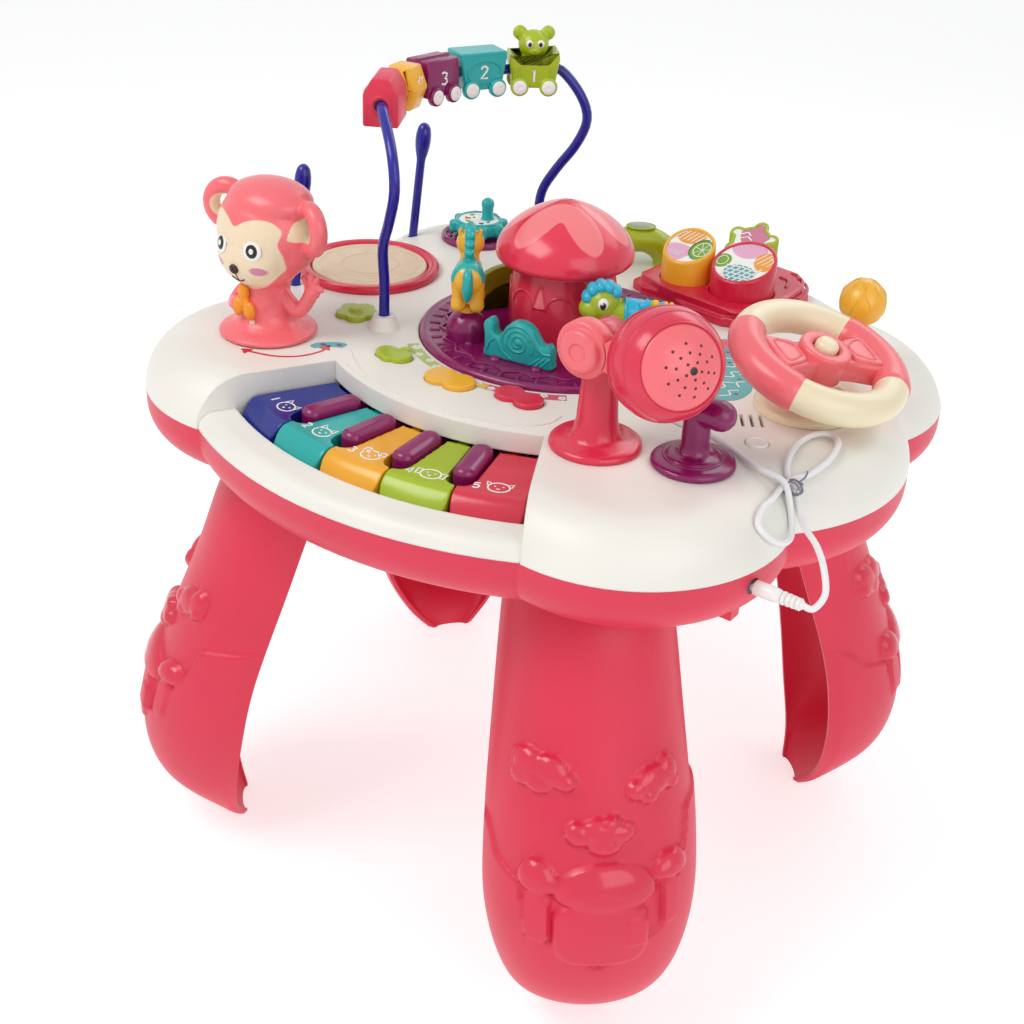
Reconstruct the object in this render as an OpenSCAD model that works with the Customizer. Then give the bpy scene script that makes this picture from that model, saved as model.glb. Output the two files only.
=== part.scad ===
// Musical activity table for small children.
// Front (piano side) faces -Y, the steering wheel is toward +X, the floor is z = 0.

/* [Table] */
// Height of the flat play surface above the floor
top_height = 324; // [300:2:360]
// Depth of the white cover, from its seam to the play surface
cover_depth = 28; // [26:1:34]
// Depth of the red tray below the seam
tray_depth = 30; // [28:1:40]
// Wall thickness of cover and tray
wall = 2.5; // [2:0.1:3]
// Radius of the four corner lobes
lobe_r = 83; // [80:0.5:86]
// Radius of the two side lobes
side_r = 105; // [103:0.5:108]
// Width of the lip between the keys and the long front curve
lip_w = 21.6; // [19:0.2:23]
// Edge rounding of the cover at the two right and rear lobes
soft_edge = 38; // [34:1:44]
// Rounding of the tray's lower edge
tray_edge = 22; // [16:1:26]

/* [Legs] */
// Wall thickness of a leg shell
leg_wall = 3; // [2:0.5:5]
// Radius of the spigot that enters the tray
spigot_r = 12; // [8:0.5:14]
// Height of that spigot
spigot_h = 8; // [6:0.5:12]
// Extra outward reach of the rear foot
rear_reach = 10; // [0:1:14]

/* [Piano] */
// Half angle of the key well
well_half = 28; // [26:0.5:29]
// Radius where the keys begin
key_in = 149.6; // [148:0.2:152]
// Radius where the keys end
key_out = 205.4; // [200:0.2:206]
// Height of the white keys above the seam
key_top = 16; // [14:0.5:18]
// Height of the sharps above the seam
sharp_top = 20.5; // [19:0.5:24]
// Width of a sharp
sharp_w = 12.5; // [10:0.5:14]
// Height of the lip in front of the keys
lip_h = 9; // [7:0.5:12]
// Rounding of the keys' front ends
key_nose = 11.4; // [9:0.2:12.5]
// Gap between a sharp and the keys beside it
sharp_gap = 1.4; // [1.2:0.1:1.8]
// Radius of the key hinge barrels
barrel_r = 3; // [2.5:0.1:3.4]

/* [Carousel] */
// Radius of the turning plate
plate_r = 80.8; // [76:0.2:81]
// Depth of the pocket that holds it
pocket = 5.5; // [4:0.5:8]
// Radius of the plate's hub
hub_r = 8; // [6:0.5:12]
// Radius of the speaker under the cover
speaker_r = 16.5; // [14:0.5:17]
// Radius of the mushroom cap at its rim
cap_r = 39; // [36:0.5:41]
// Height of the mushroom cap
cap_h = 34.6; // [30:0.2:34.8]

/* [Toys] */
// Radius of the drum ring
drum_r = 43.5; // [41:0.5:45]
// Thickness of the bead wire
wire_d = 6; // [5:0.5:7]
// Height of the top of the bead wire above the surface
wire_top = 121; // [116:1:130]
// Radius of the wire's level curve
wire_arc = 94; // [90:1:98]
// Diameter of a drumstick
stick_d = 5.6; // [5:0.2:6.4]
// Radius of the steering wheel at its tube centre
wheel_r = 39.9; // [38:0.1:41]
// Radius of the wheel's tube
rim_r = 9.1; // [8:0.1:9.6]
// Radius of the microphone bulb
bulb_r = 27.3; // [25:0.1:29]
// Radius of the shift knob
knob_r = 14; // [12:0.5:15]
// Radius of the gear dial
gear_r = 16; // [14:0.5:17]

/* [Fit] */
// Running clearance between a shaft and its bore
run = 0.06; // [0.03:0.01:0.1]
// Gap between a button and its hole, or a piece and its seat
gap = 0.3; // [0.3:0.05:0.4]
// Travel of a pressed button
press = 1.5; // [1:0.1:2]
// Radius of a case screw's shank
screw_r = 1.5; // [1.2:0.1:1.8]

/* [Lead] */
// Diameter of the charging lead
cable_d = 3.2; // [3:0.1:3.6]
// Radius of the charging plug's barrel
pin_r = 2.75; // [2.4:0.05:2.8]

/* [Hidden] */
$fn = 64;
// Radius of the long front and back curves
belly_r = key_out + lip_w;
top = top_height;
seam = top - cover_depth;
base = seam - tray_depth;
under = top - wall;
coral = "#E8495F";
shell = "#F6F1EA";
salmon = "#FF7F86";
plum = "#8E2A6A";
teal = "#35A9AE";
lime = "#B5C634";
gold = "#F2B236";
navy = "#2C3F8A";
cream = "#F3E2C2";
grey = "#8A8D90";
green = "#2E7D4F";
orange = "#F08A4A";
// Disc centres of the outline
lobe_at = [[114, -92], [-114, -92], [114, 92], [-114, 92]];
side_x = 110.5;
belly_y = 26.5;
belly_half = 107.5;
// Where the sharps end, and the rubber mat under the keys
sharp_end = key_out - 16.4;
mat_in = key_out - 35.4;
mat_out = key_out - 15.4;
// Places of the toys on the surface
key_c = [0, 26.5];
car_c = [1, 8.5];
drum_c = [-146, 12];
monkey_c = [-125.6, -100.1];
near_c = [-163, -37];
far_c = [-167, 80];
gear_c = [-131, 104];
arch_c = [-27, 137];
column_c = [155, 14.5];
wheel_c = [159.4, 13.4];
shift_c = [150, 82.5];
mic_c = [94.3, -95.6];
tap_c = [142.4, -81.5];
speaker_c = [137, -22];
power_c = [155.8, -40.5];
// Buttons round the carousel: how far outside its plate, and at which angle
function by_plate(d, a) = car_c + (plate_r + d) * [cos(a), sin(a)];
apple_c = by_plate(20.83, -119.79);
yellow_c = by_plate(12.96, -94.28);
cherry_c = by_plate(12.61, -68.65);
flower_c = [-104, -48];
screw_at = [[150, -130], [-150, -130], [150, 130], [-150, 130], [193, 0], [-193, 0]];
door_c = [0, -30];
door_screws = [[-30, -30], [30, -30]];
leg_az = [-45, -136, 44, 143];
leg_rho = 150;
hinge_r = 134;
hinge_h = 11;
wheel_tilt = 17;
wheel_h = 28;
wire_c = [-22, 22.8];
feet_c = [[-80, -52], [-80, 98]];
jack_y = -108.5;
jack_z = top - 36;
plug_x = 196.5;
plug_end = 222;

// ---- helpers ----

function leg_pos(i) = leg_rho * [cos(leg_az[i]), sin(leg_az[i])];

// Smooth curve through points, n steps between neighbours
function cr(a, b, c, d, t) = 0.5 * ((2 * b) + (c - a) * t + (2 * a - 5 * b + 4 * c - d) * t * t
  + (3 * b - a - 3 * c + d) * t * t * t);
function curve(p, n) = [
  for (i = [0 : len(p) - 2])
    for (k = [0 : n - 1])
      cr(p[max(i - 1, 0)], p[i], p[i + 1], p[min(i + 2, len(p) - 1)], k / n),
  p[len(p) - 1]];
function unit(v) = v / norm(v);
function tangent(p, i) = unit(p[min(i + 1, len(p) - 1)] - p[max(i - 1, 0)]);

// Closed tube along points; ref gives each ring's sideways direction
module tube(p, r, sides, ref) {
  n = len(p);
  pts = [
    for (i = [0 : n - 1])
      let (t = tangent(p, i), a = unit(cross(t, ref[i])), b = cross(t, a))
        for (k = [0 : sides - 1])
          p[i] + r * (cos(360 * k / sides) * a + sin(360 * k / sides) * b)];
  walls = [
    for (i = [0 : n - 2])
      for (k = [0 : sides - 1])
        let (m = (k + 1) % sides, q = i * sides)
          each [[q + k, q + sides + k, q + m], [q + m, q + sides + k, q + sides + m]]];
  ends = [[for (k = [0 : sides - 1]) k], [for (k = [sides - 1 : -1 : 0]) (n - 1) * sides + k]];
  polyhedron(points = pts, faces = concat(walls, ends), convexity = 6);
}

// Straight round rod with ball ends
module rod(a, b, r, r2 = 0) {
  v = b - a;
  l = norm(v);
  translate(a)
    rotate([0, acos(v[2] / l), atan2(v[1], v[0])])
      cylinder(r1 = r, r2 = r2 > 0 ? r2 : r, h = l, $fn = 32);
  translate(a) sphere(r = 1.04 * r, $fn = 32);
  translate(b) sphere(r = 1.04 * (r2 > 0 ? r2 : r), $fn = 32);
}

// Half section of a disc with a rounded upper edge, cut flat at its foot
module pillow_2d(r, h, e, t = 0) {
  s = e > h ? sqrt(e * e - (e - h) * (e - h)) : e;
  intersection() {
    union() {
      square([r - s, h - t]);
      translate([r - s, h - e]) circle(r = e - t, $fn = 96);
      if (h > e) square([r - t, h - e]);
    }
    square([r + 9, h - t]);
  }
}

module pillow(r, h, e, t = 0) {
  rotate_extrude($fn = 128) pillow_2d(r, h, e, t);
}

// Rounded button made of one disc
module pad(r, h, e) {
  rotate_extrude($fn = 48) pillow_2d(r, h, e);
}

module at(c, z) {
  translate([c[0], c[1], z]) children();
}

// Ring sector about the key centre, a2 > a1, angles from straight ahead
module sector(r1, r2, z1, z2, a1, a2) {
  at(key_c, 0)
    rotate([0, 0, -90 + a1])
      rotate_extrude(angle = a2 - a1, $fn = 128)
        translate([r1, z1]) square([r2 - r1, z2 - z1]);
}

// The whole outline filled by discs: kind 0 is the cover, 1 the tray
module outline(kind, t) {
  for (i = [0 : 3])
    translate(lobe_at[i])
      if (kind == 0) pillow(lobe_r, cover_depth, i > 1 ? soft_edge : cover_depth, t);
      else tub(lobe_r, t);
  for (s = [-1, 1]) {
    translate([s * side_x, 0])
      if (kind == 0) pillow(side_r, cover_depth, cover_depth, t);
      else tub(side_r, t);
    intersection() {
      translate([0, -s * belly_y])
        if (kind == 0) pillow(belly_r, cover_depth, cover_depth, t);
        else tub(belly_r, t);
      translate([-belly_half, s > 0 ? 0 : -belly_r, -tray_depth - 1])
        cube([2 * belly_half, belly_r, cover_depth + tray_depth + 2]);
    }
  }
}

// Downward disc with a rounded lower edge
module tub(r, t) {
  side = tray_depth - tray_edge;
  rotate([180, 0, 0])
    rotate_extrude($fn = 128)
      intersection() {
        union() {
          translate([0, -0.01 * t]) square([r - t, side + 0.01 * t]);
          square([r - tray_edge, tray_depth - t]);
          translate([r - tray_edge, side]) circle(r = tray_edge - t, $fn = 96);
        }
        translate([0, -0.01 * t]) square([r, tray_depth - t + 0.01 * t]);
      }
}

// ---- red tray and legs ----

module tray() {
  color(coral) difference() {
    union() {
      difference() {
        translate([0, 0, seam]) outline(1, 0);
        translate([0, 0, seam]) outline(1, wall);
      }
      for (p = screw_at)
        at(p, base) cylinder(r = 4.8, h = tray_depth, $fn = 32);
      for (i = [0 : 3])
        at(leg_pos(i), base) cylinder(r = spigot_r + 4, h = spigot_h, $fn = 48);
      at(door_c, base) translate([-40, -35, 0]) cube([80, 70, 2 * wall]);
      for (a = [-18, 0, 18])
        at(key_c, base) rotate([0, 0, a - 90]) translate([mat_in + 10, 0, 0])
          cylinder(r = 4, h = tray_depth - 3.2, $fn = 32);
      for (x = [-38, 38], y = [48, 92])
        translate([x, y, base]) cylinder(r = 3.5, h = wall + 6, $fn = 32);
      translate([178, jack_y - 4, base + 1]) cube([10, 8, jack_z - 5 - base - 1]);
    }
    for (p = screw_at) {
      at(p, base - 1) cylinder(r = 3.4, h = 19, $fn = 32);
      at(p, base) cylinder(r = screw_r + 0.2, h = tray_depth + 1, $fn = 32);
    }
    for (i = [0 : 3])
      at(leg_pos(i), base - 1) cylinder(r = spigot_r + run, h = spigot_h + 2, $fn = 48);
    at(door_c, base - 1) translate([-35 - gap, -30 - gap, 0])
      cube([70 + 2 * gap, 60 + 2 * gap, wall + 1]);
    at(door_c, base - 1) translate([-25, -20, 0]) cube([50, 40, 12]);
    for (p = door_screws)
      at(door_c + [p[0], 0], base) cylinder(r = screw_r + run, h = 12, $fn = 32);
    translate([185, jack_y, jack_z]) rotate([0, 90, 0]) cylinder(r = 4.2, h = 16, $fn = 32);
  }
}

// Rows of a leg: height, outer reach, inner reach, half width
leg_rows = [[265, 172, 122, 39], [239, 189, 135, 44.5], [189, 207, 153, 50], [129, 231, 174, 55.5],
  [85, 242.5, 183.5, 55.5], [46, 236, 188, 46.5], [16, 202, 189, 30], [0, 190, 184, 14]];

function leg_ring(q, w, out, ang) = [
  for (k = [0 : 15])
    let (u = -90 + 12 * k, c = pow(max(cos(u), 0), 0.8),
      x = q[2] + (q[1] - w - q[2]) * c + out * (1 - q[0] / base), y = (q[3] - w) * sin(u))
      [x * cos(ang) - y * sin(ang), x * sin(ang) + y * cos(ang), q[0] * base / 266]];
function rev(v) = [for (i = [len(v) - 1 : -1 : 0]) v[i]];

module leg(i, out) {
  rows = curve(leg_rows, 3);
  n = len(rows);
  m = 32;
  pts = [for (q = rows) each concat(leg_ring(q, 0, out, leg_az[i]),
    rev(leg_ring(q, leg_wall, out, leg_az[i])))];
  walls = [
    for (j = [0 : n - 2])
      for (k = [0 : m - 1])
        let (b = j * m, l = (k + 1) % m)
          each [[b + k, b + l, b + m + k], [b + l, b + m + l, b + m + k]]];
  caps = [
    for (j = [0, n - 1])
      for (k = [0 : 14])
        let (b = j * m, f = [b + k, b + m - 1 - k, b + m - 2 - k, b + k + 1])
          each [j == 0 ? [f[0], f[1], f[2]] : [f[2], f[1], f[0]],
            j == 0 ? [f[0], f[2], f[3]] : [f[3], f[2], f[0]]]];
  color(coral) difference() {
    union() {
      polyhedron(points = pts, faces = concat(walls, caps), convexity = 4);
      translate([0, 0, base - 6]) linear_extrude(6)
        polygon([for (q = leg_ring([0, 170.5, 124.3, 37.4], 0, 0, leg_az[i])) [q[0], q[1]]]);
      at(leg_pos(i), base - 1) cylinder(r = spigot_r, h = spigot_h + 1, $fn = 48);
    }
    at(leg_pos(i), base - 8) cylinder(r = screw_r + run, h = spigot_h + 12, $fn = 32);
  }
}

module leg_front() leg(0, 0);
module leg_left() leg(1, 0);
module leg_right() leg(2, 0);
module leg_rear() leg(3, rear_reach);

module service_door() {
  color(coral) at(door_c, base) difference() {
    translate([-35, -30, 0]) cube([70, 60, wall]);
    for (p = door_screws)
      translate([p[0], 0, -1]) cylinder(r = screw_r + 0.2, h = wall + 2, $fn = 32);
  }
}

module screw(l, r, h) {
  cylinder(r = screw_r, h = l, $fn = 32);
  translate([0, 0, -h]) cylinder(r = r, h = h, $fn = 32);
}

module case_screws() {
  color(grey) {
    for (p = screw_at)
      at(p, base + 18) screw(22, 3, 2);
    for (i = [0 : 3])
      at(leg_pos(i), base + spigot_h) mirror([0, 0, 1]) screw(13, spigot_r + 2, 1.5);
    for (p = door_screws)
      at(door_c + [p[0], 0], base) translate([0, 0, -1]) {
        cylinder(r = screw_r, h = 6, $fn = 32);
        cylinder(r = 3, h = 1, $fn = 32);
      }
  }
}

module main_board() {
  z = base + wall + 6;
  color(green) difference() {
    translate([-45, 42, z]) cube([90, 56, 1.6]);
    for (x = [-38, 38], y = [48, 92])
      translate([x, y, z - 1]) cylinder(r = 1.5, h = 4, $fn = 32);
  }
  color(grey) translate([-20, 52, z + 1.6]) cube([34, 22, 8]);
  color(navy) translate([18, 56, z + 1.6]) cube([12, 12, 1.5]);
}

module speaker() {
  color(grey) at(speaker_c, under - 14) {
    difference() {
      union() {
        cylinder(r = speaker_r - 7, h = 9, $fn = 48);
        translate([0, 0, 6]) cylinder(r1 = speaker_r - 6, r2 = speaker_r - 1, h = 6, $fn = 48);
        translate([0, 0, 12]) cylinder(r = speaker_r, h = 2, $fn = 48);
      }
      translate([0, 0, 10]) cylinder(r1 = speaker_r - 7, r2 = speaker_r - 3, h = 5, $fn = 48);
    }
  }
}

module charge_jack() {
  color(grey) difference() {
    union() {
      translate([178, jack_y - 5, jack_z - 5]) cube([12, 10, 10]);
      translate([189, jack_y, jack_z]) rotate([0, 90, 0]) cylinder(r = 4, h = 5.5, $fn = 32);
    }
    translate([184, jack_y, jack_z]) rotate([0, 90, 0])
      cylinder(r = pin_r + run, h = 14, $fn = 32);
  }
}

module key_mat() {
  color(grey) sector(mat_in, mat_out, seam - 3.2, seam - 1.4, -26, 26);
}

// ---- white cover ----

module tangent_bar(a, r, l, x = 0) {
  at(key_c, seam + hinge_h)
    rotate([0, 0, a - 90]) translate([hinge_r + x, 0, 0])
      rotate([90, 0, 0]) cylinder(r = r, h = l, center = true, $fn = 32);
}

module lip() {
  at(key_c, seam)
    rotate([0, 0, -90 - well_half - 0.4])
      rotate_extrude(angle = 2 * well_half + 0.8, $fn = 128)
        difference() {
          intersection() {
            pillow_2d(belly_r, lip_h, lip_h);
            translate([key_out + 0.6, 0]) square([40, 40]);
          }
          intersection() {
            pillow_2d(belly_r, lip_h, lip_h, wall);
            translate([key_out + 0.6 + wall, -1]) square([40, 40]);
          }
        }
}

module hole(c, r) {
  at(c, under - 20) cylinder(r = r, h = 30, $fn = 48);
}

module shapes_apple(g) {
  for (x = [-4.6, 4.6])
    translate([x, 0]) circle(r = 6.6 + g, $fn = 48);
  translate([0, -3.5]) circle(r = 5 + g, $fn = 48);
}

module shapes_yellow(g) {
  for (x = [-6, 6])
    translate([x, 0]) circle(r = 9 + g, $fn = 48);
}

module shapes_cherry(g) {
  translate([-6.5, 0.6]) circle(r = 8 + g, $fn = 48);
  translate([6.5, -0.6]) circle(r = 8 + g, $fn = 48);
}

module shapes_flower(g) {
  circle(r = 7 + g, $fn = 48);
  for (k = [0 : 4])
    rotate(90 + 72 * k) translate([6.6, 0]) circle(r = 5.9 + g, $fn = 48);
}

module top_cover() {
  color(shell) difference() {
    union() {
      difference() {
        translate([0, 0, seam]) outline(0, 0);
        difference() {
          translate([0, 0, seam - 0.01]) outline(0, wall);
          sector(146.5, belly_r + 33, 0, 400, -well_half - 0.9, well_half + 0.9);
        }
      }
      at(car_c, top - pocket - wall) cylinder(r = plate_r + 2 * gap + 1.8, h = pocket + wall, $fn = 128);
      at(car_c, top - pocket - wall - 6) cylinder(r = hub_r + 4, h = 8, $fn = 48);
      for (p = screw_at)
        at(p, seam) cylinder(r = 4.2, h = cover_depth - 2, $fn = 32);
      sector(129, hinge_r, seam + 6, under + 0.5, -24, 24);
      for (p = feet_c)
        at(p, top - 9) {
          cylinder(r = 6, h = 12, $fn = 48);
          translate([0, 0, 8.9]) cylinder(r1 = 9.5, r2 = 6, h = 8, $fn = 48);
        }
      for (p = [monkey_c, mic_c, tap_c, gear_c])
        at(p, under - 8) cylinder(r = 9, h = 9, $fn = 48);
      for (p = [near_c, far_c])
        at(p, under - 10) cylinder(r = 6.5, h = 11, $fn = 48);
      for (s = [-1, 1])
        translate([shift_c[0] - 6, shift_c[1] + s * 7 - 1.5, top - 18]) cube([12, 3, 17]);
      at(speaker_c, under - 5) cylinder(r = speaker_r + 2, h = 6, $fn = 48);
    }
    // key well and the slot that the key arms pass
    sector(149, belly_r + 33, seam - 1, top + 40, -well_half, well_half);
    sector(146, 150, seam - 1, seam + 17, -well_half, well_half);
    for (a = [-22, -11, 0, 11, 22]) tangent_bar(a, barrel_r + gap, 6.6);
    for (a = [-16.5, -5.5, 5.5, 16.5]) tangent_bar(a, barrel_r + gap, 5.6);
    // carousel pocket and bore
    at(car_c, top - pocket) cylinder(r = plate_r + 2 * gap, h = pocket + 5, $fn = 128);
    hole(car_c, hub_r + run);
    hole(monkey_c, 6 + run);
    hole(mic_c, 7 + run);
    hole(tap_c, 6 + run);
    hole(gear_c, 4 + run);
    hole(drum_c, 30);
    for (p = [near_c, far_c])
      at(p, top) stick_turn() translate([0, 0, -9.5]) cylinder(r = stick_d / 2 + gap, h = 30, $fn = 32);
    for (p = feet_c)
      at(p, top - 8.3) cylinder(r = wire_d / 2 + 0.2, h = 30, $fn = 48);
    for (p = screw_at)
      at(p, seam - 1) cylinder(r = screw_r + 0.05, h = 15, $fn = 32);
    hole(power_c, 6 + gap);
    at(flower_c, under - 9) linear_extrude(20) shapes_flower(gap);
    at(apple_c, under - 9) linear_extrude(20) shapes_apple(gap);
    at(yellow_c, under - 9) linear_extrude(20) shapes_yellow(gap);
    at(cherry_c, under - 9) linear_extrude(20) shapes_cherry(gap);
    // shift slot and its pivot bores
    translate([shift_c[0] - 8, shift_c[1] - 4.4, under - 1]) cube([16, 8.8, 8]);
    translate([shift_c[0], shift_c[1], top - 12])
      rotate([90, 0, 0]) cylinder(r = 3 + run, h = 30, center = true, $fn = 32);
    // speaker seat and sound slots
    at(speaker_c, under - 8) cylinder(r = speaker_r + gap, h = 8, $fn = 48);
    for (k = [-2 : 2])
      at(speaker_c, under - 1) rotate([0, 0, 35]) translate([k * 5 - 0.9, -7, 0]) cube([1.8, 14, 8]);
  }
  color(shell) lip();
}

// ---- piano keys ----

module key_arm(a, w, h1) {
  at(key_c, seam)
    rotate([0, 0, a - 90]) translate([hinge_r, -w / 2, hinge_h - 3])
      cube([key_in + 4 - hinge_r, w, h1]);
  tangent_bar(a, barrel_r, w);
}

module sharp_shape(a, w, h, e) {
  l = sharp_end - key_in - 0.9 - sharp_w;
  at(key_c, seam + 2)
    rotate([0, 0, a - 90]) translate([key_in + 0.9 + sharp_w / 2, 0, 0]) {
      for (x = [0, l])
        translate([x, 0, 0]) rotate_extrude($fn = 48) pillow_2d(w / 2, h, e);
      rotate([90, 0, 90]) linear_extrude(l) {
        pillow_2d(w / 2, h, e);
        mirror([1, 0]) pillow_2d(w / 2, h, e);
      }
    }
}

module sharp_cut(a) {
  at(key_c, seam)
    rotate([0, 0, a - 90]) {
      translate([140, -sharp_w / 2 - sharp_gap, 0])
        cube([sharp_end - 140 - sharp_w / 2, sharp_w + 2 * sharp_gap, 30]);
      translate([sharp_end - sharp_w / 2, 0, 0])
        cylinder(r = sharp_w / 2 + sharp_gap, h = 30, $fn = 48);
    }
}

module white_key(k, c) {
  a = -22 + 11 * k;
  color(c) {
    difference() {
      at(key_c, seam)
        rotate([0, 0, a - 95.5 + 0.15])
          rotate_extrude(angle = 10.7, $fn = 128)
            intersection() {
              union() {
                translate([key_in, 2]) square([key_out - key_nose - key_in, key_top - 2]);
                translate([key_out - key_nose, key_top - key_nose]) circle(r = key_nose, $fn = 96);
              }
              translate([key_in, 2]) square([key_out - key_in + 5, 40]);
            }
      for (s = [-5.5, 5.5])
        if (abs(a + s) < 20) sharp_cut(a + s);
      sector(sharp_end + 3, key_out - 3.4, seam, seam + key_top - 5.5, a - 4.4, a + 4.4);
    }
    key_arm(a, 6, 7);
  }
}

module sharp(k) {
  a = -16.5 + 11 * k;
  color(plum) {
    sharp_shape(a, sharp_w, sharp_top - 2, 4);
    key_arm(a, 5, 7);
  }
}

module key_navy() white_key(0, navy);
module key_teal() white_key(1, teal);
module key_yellow() white_key(2, gold);
module key_lime() white_key(3, lime);
module key_red() white_key(4, coral);
module sharp_1() sharp(0);
module sharp_2() sharp(1);
module sharp_3() sharp(2);
module sharp_4() sharp(3);

// ---- buttons ----

// Upper part stands proud, the flange stays under the cover
module button(c, col, h) {
  color(col) at(c, 0) {
    translate([0, 0, under - gap]) linear_extrude(wall + h) children(0);
    translate([0, 0, under - gap - 1.2]) linear_extrude(1.21) difference() {
      children(1);
      translate(car_c - c) circle(r = plate_r + 3 * gap + 1.8, $fn = 128);
    }
  }
}

module apple_button() {
  button(apple_c, lime, 3) { shapes_apple(0); shapes_apple(1); }
  // the leaf lies over the cover, clear of it when the button is down
  color(lime) at(apple_c, top + press + gap) {
    translate([2.5, 8.5, 0]) cylinder(r = 2.6, h = 3 - press - gap, $fn = 32);
    translate([-1, 3, 0]) cube([3, 6, 3 - press - gap]);
  }
}

module yellow_button() {
  button(yellow_c, gold, 3) { shapes_yellow(0); shapes_yellow(1); }
}

module cherry_button() {
  button(cherry_c, coral, 3) { shapes_cherry(0); shapes_cherry(1); }
}

module flower_button() {
  button(flower_c, lime, 3) { shapes_flower(0); shapes_flower(1); }
  color(lime) at(flower_c, top + 2) pad(5, 2.6, 2);
}

module power_button() {
  button(power_c, shell, 1.4) { circle(r = 6, $fn = 48); circle(r = 7, $fn = 48); }
}

// ---- drum, sticks and monkey ----

module drum_ring() {
  color(coral) at(drum_c, top) rotate_extrude($fn = 128)
    difference() {
      pillow_2d(drum_r, 5, 3);
      square([drum_r - 7.5, 6]);
    }
}

module drum_skin() {
  color(cream) at(drum_c, top) {
    translate([0, 0, 1.8]) pad(drum_r - 7.5 - gap, 2.4, 1.5);
    translate([0, 0, -4]) cylinder(r = 29.5, h = 6, $fn = 64);
  }
}

// The sticks lean a little to the right of the camera side
module stick_turn() {
  rotate([0, 0, 35]) rotate([0, 5.2, 0]) children();
}

module stick() {
  stick_turn() {
    translate([0, 0, -9]) cylinder(r = stick_d / 2, h = 62, $fn = 32);
    translate([0, 0, 52]) cylinder(r1 = stick_d / 2, r2 = 4.6, h = 6, $fn = 32);
    translate([0, 0, 58]) cylinder(r = 4.6, h = 12, $fn = 32);
    translate([0, 0, 70]) sphere(r = 4.6, $fn = 32);
  }
}

module mallet_near() {
  color(navy) at(near_c, top) stick();
}

module mallet_far() {
  color(navy) at(far_c, top) stick();
}

module monkey() {
  color(salmon) at(monkey_c, top) {
    translate([0, 0, -2 * wall - 8]) cylinder(r = 6, h = 2 * wall + 10, $fn = 48);
    translate([0, 0, gap]) pad(27.7, 3, 2);
    translate([0, 0, 3]) cylinder(r1 = 18, r2 = 14, h = 30, $fn = 48);
    rotate([0, 0, -16]) translate([0, 0, 58]) {
      sphere(r = 28, $fn = 64);
      translate([0, -14, -7]) sphere(r = 17, $fn = 48);
      for (s = [-1, 1])
        translate([s * 32, 2, 7]) rotate([90, 0, 0])
          cylinder(r = 11, h = 8, center = true, $fn = 48);
    }
    rotate([0, 0, -16]) {
      rod([-14, -4, 24], [-22, -12, 14], 5);
      rod([14, -4, 24], [27, -8, 34], 5);
    }
  }
}

// ---- bead wire ----

function arc_pt(a, z) = [wire_c[0] + wire_arc * cos(a), wire_c[1] + wire_arc * sin(a), z];

module bead_wire() {
  near_leg = curve([[-80, -52, -8], [-80, -52, 8], [-80, -52, 28], [-78.5, -55, 49], [-69, -61, 68],
    [-62, -65, 88], [-68, -60.5, 107]], 3);
  far_leg = curve([[-61, 109, 107], [-57, 112, 92], [-62, 109, 76], [-72, 104, 60],
    [-79, 99.5, 45], [-80, 98, 28], [-80, 98, 8], [-80, 98, -8]], 3);
  level = [for (k = [0 : 18]) arc_pt(226 - 104 * k / 18, wire_top)];
  rise = [for (q = near_leg) [q[0], q[1], q[2] * wire_top / 121]];
  fall = [for (q = far_leg) [q[0], q[1], q[2] * wire_top / 121]];
  corner1 = curve([rise[len(rise) - 2], rise[len(rise) - 1], level[0], level[1]], 3);
  corner2 = curve([level[17], level[18], fall[0], fall[1]], 3);
  path = concat([for (i = [0 : len(rise) - 2]) rise[i]], [for (i = [3 : 5]) corner1[i]],
    level, [for (i = [4 : 5]) corner2[i]], fall);
  pts = [for (q = path) [q[0], q[1], top + q[2]]];
  ref = [for (q = pts) [q[0] - wire_c[0], q[1] - wire_c[1], 0]];
  color(navy) tube(pts, wire_d / 2, 10, ref);
}

// Puts a bead on the level curve: x outward, y along the wire
module on_wire(a) {
  difference() {
    translate([wire_c[0], wire_c[1], top + wire_top])
      rotate([0, 0, a]) translate([wire_arc, 0, 0]) children();
    translate([wire_c[0], wire_c[1], top + wire_top])
      rotate_extrude($fn = 128) translate([wire_arc, 0]) circle(r = wire_d / 2 + 0.6, $fn = 32);
  }
}

module bead_house() {
  color(coral) on_wire(209.9) {
    translate([-10, -14, -12]) cube([20, 28, 17]);
    rotate([90, 0, 0]) translate([0, 5, -14]) cylinder(r = 10, h = 28, $fn = 48);
  }
}

module bead_gem() {
  color(gold) on_wire(190) {
    translate([0, 9, 0]) rotate([90, 0, 0]) cylinder(r = 11, h = 18, $fn = 48);
    translate([-9, -9, -13]) cube([18, 18, 26]);
  }
}

module car(l, body, face) {
  translate([-10, -l / 2, -9]) cube([20, l, 13]);
  translate([-9, -l / 4, 0]) cube([18, l / 2, 12]);
  for (s = [-1, 1])
    for (x = [-1, 1])
      translate([x * 11.5, s * l * 0.28, -8]) rotate([0, 90, 0])
        cylinder(r = 5.5, h = 4, center = true, $fn = 32);
}

module car_three() {
  color(plum) on_wire(174) car(26);
}

module car_two() {
  color(teal) on_wire(154) car(31);
}

module car_one() {
  color(lime) on_wire(132.6) {
    car(31);
    translate([0, 0, 10]) cylinder(r = 8, h = 8, $fn = 48);
    translate([0, 0, 23]) sphere(r = 10, $fn = 48);
    for (s = [-1, 1])
      translate([0, s * 7.5, 31]) rotate([0, 90, 0]) cylinder(r = 4, h = 5, center = true, $fn = 32);
  }
}

// ---- carousel ----

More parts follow.
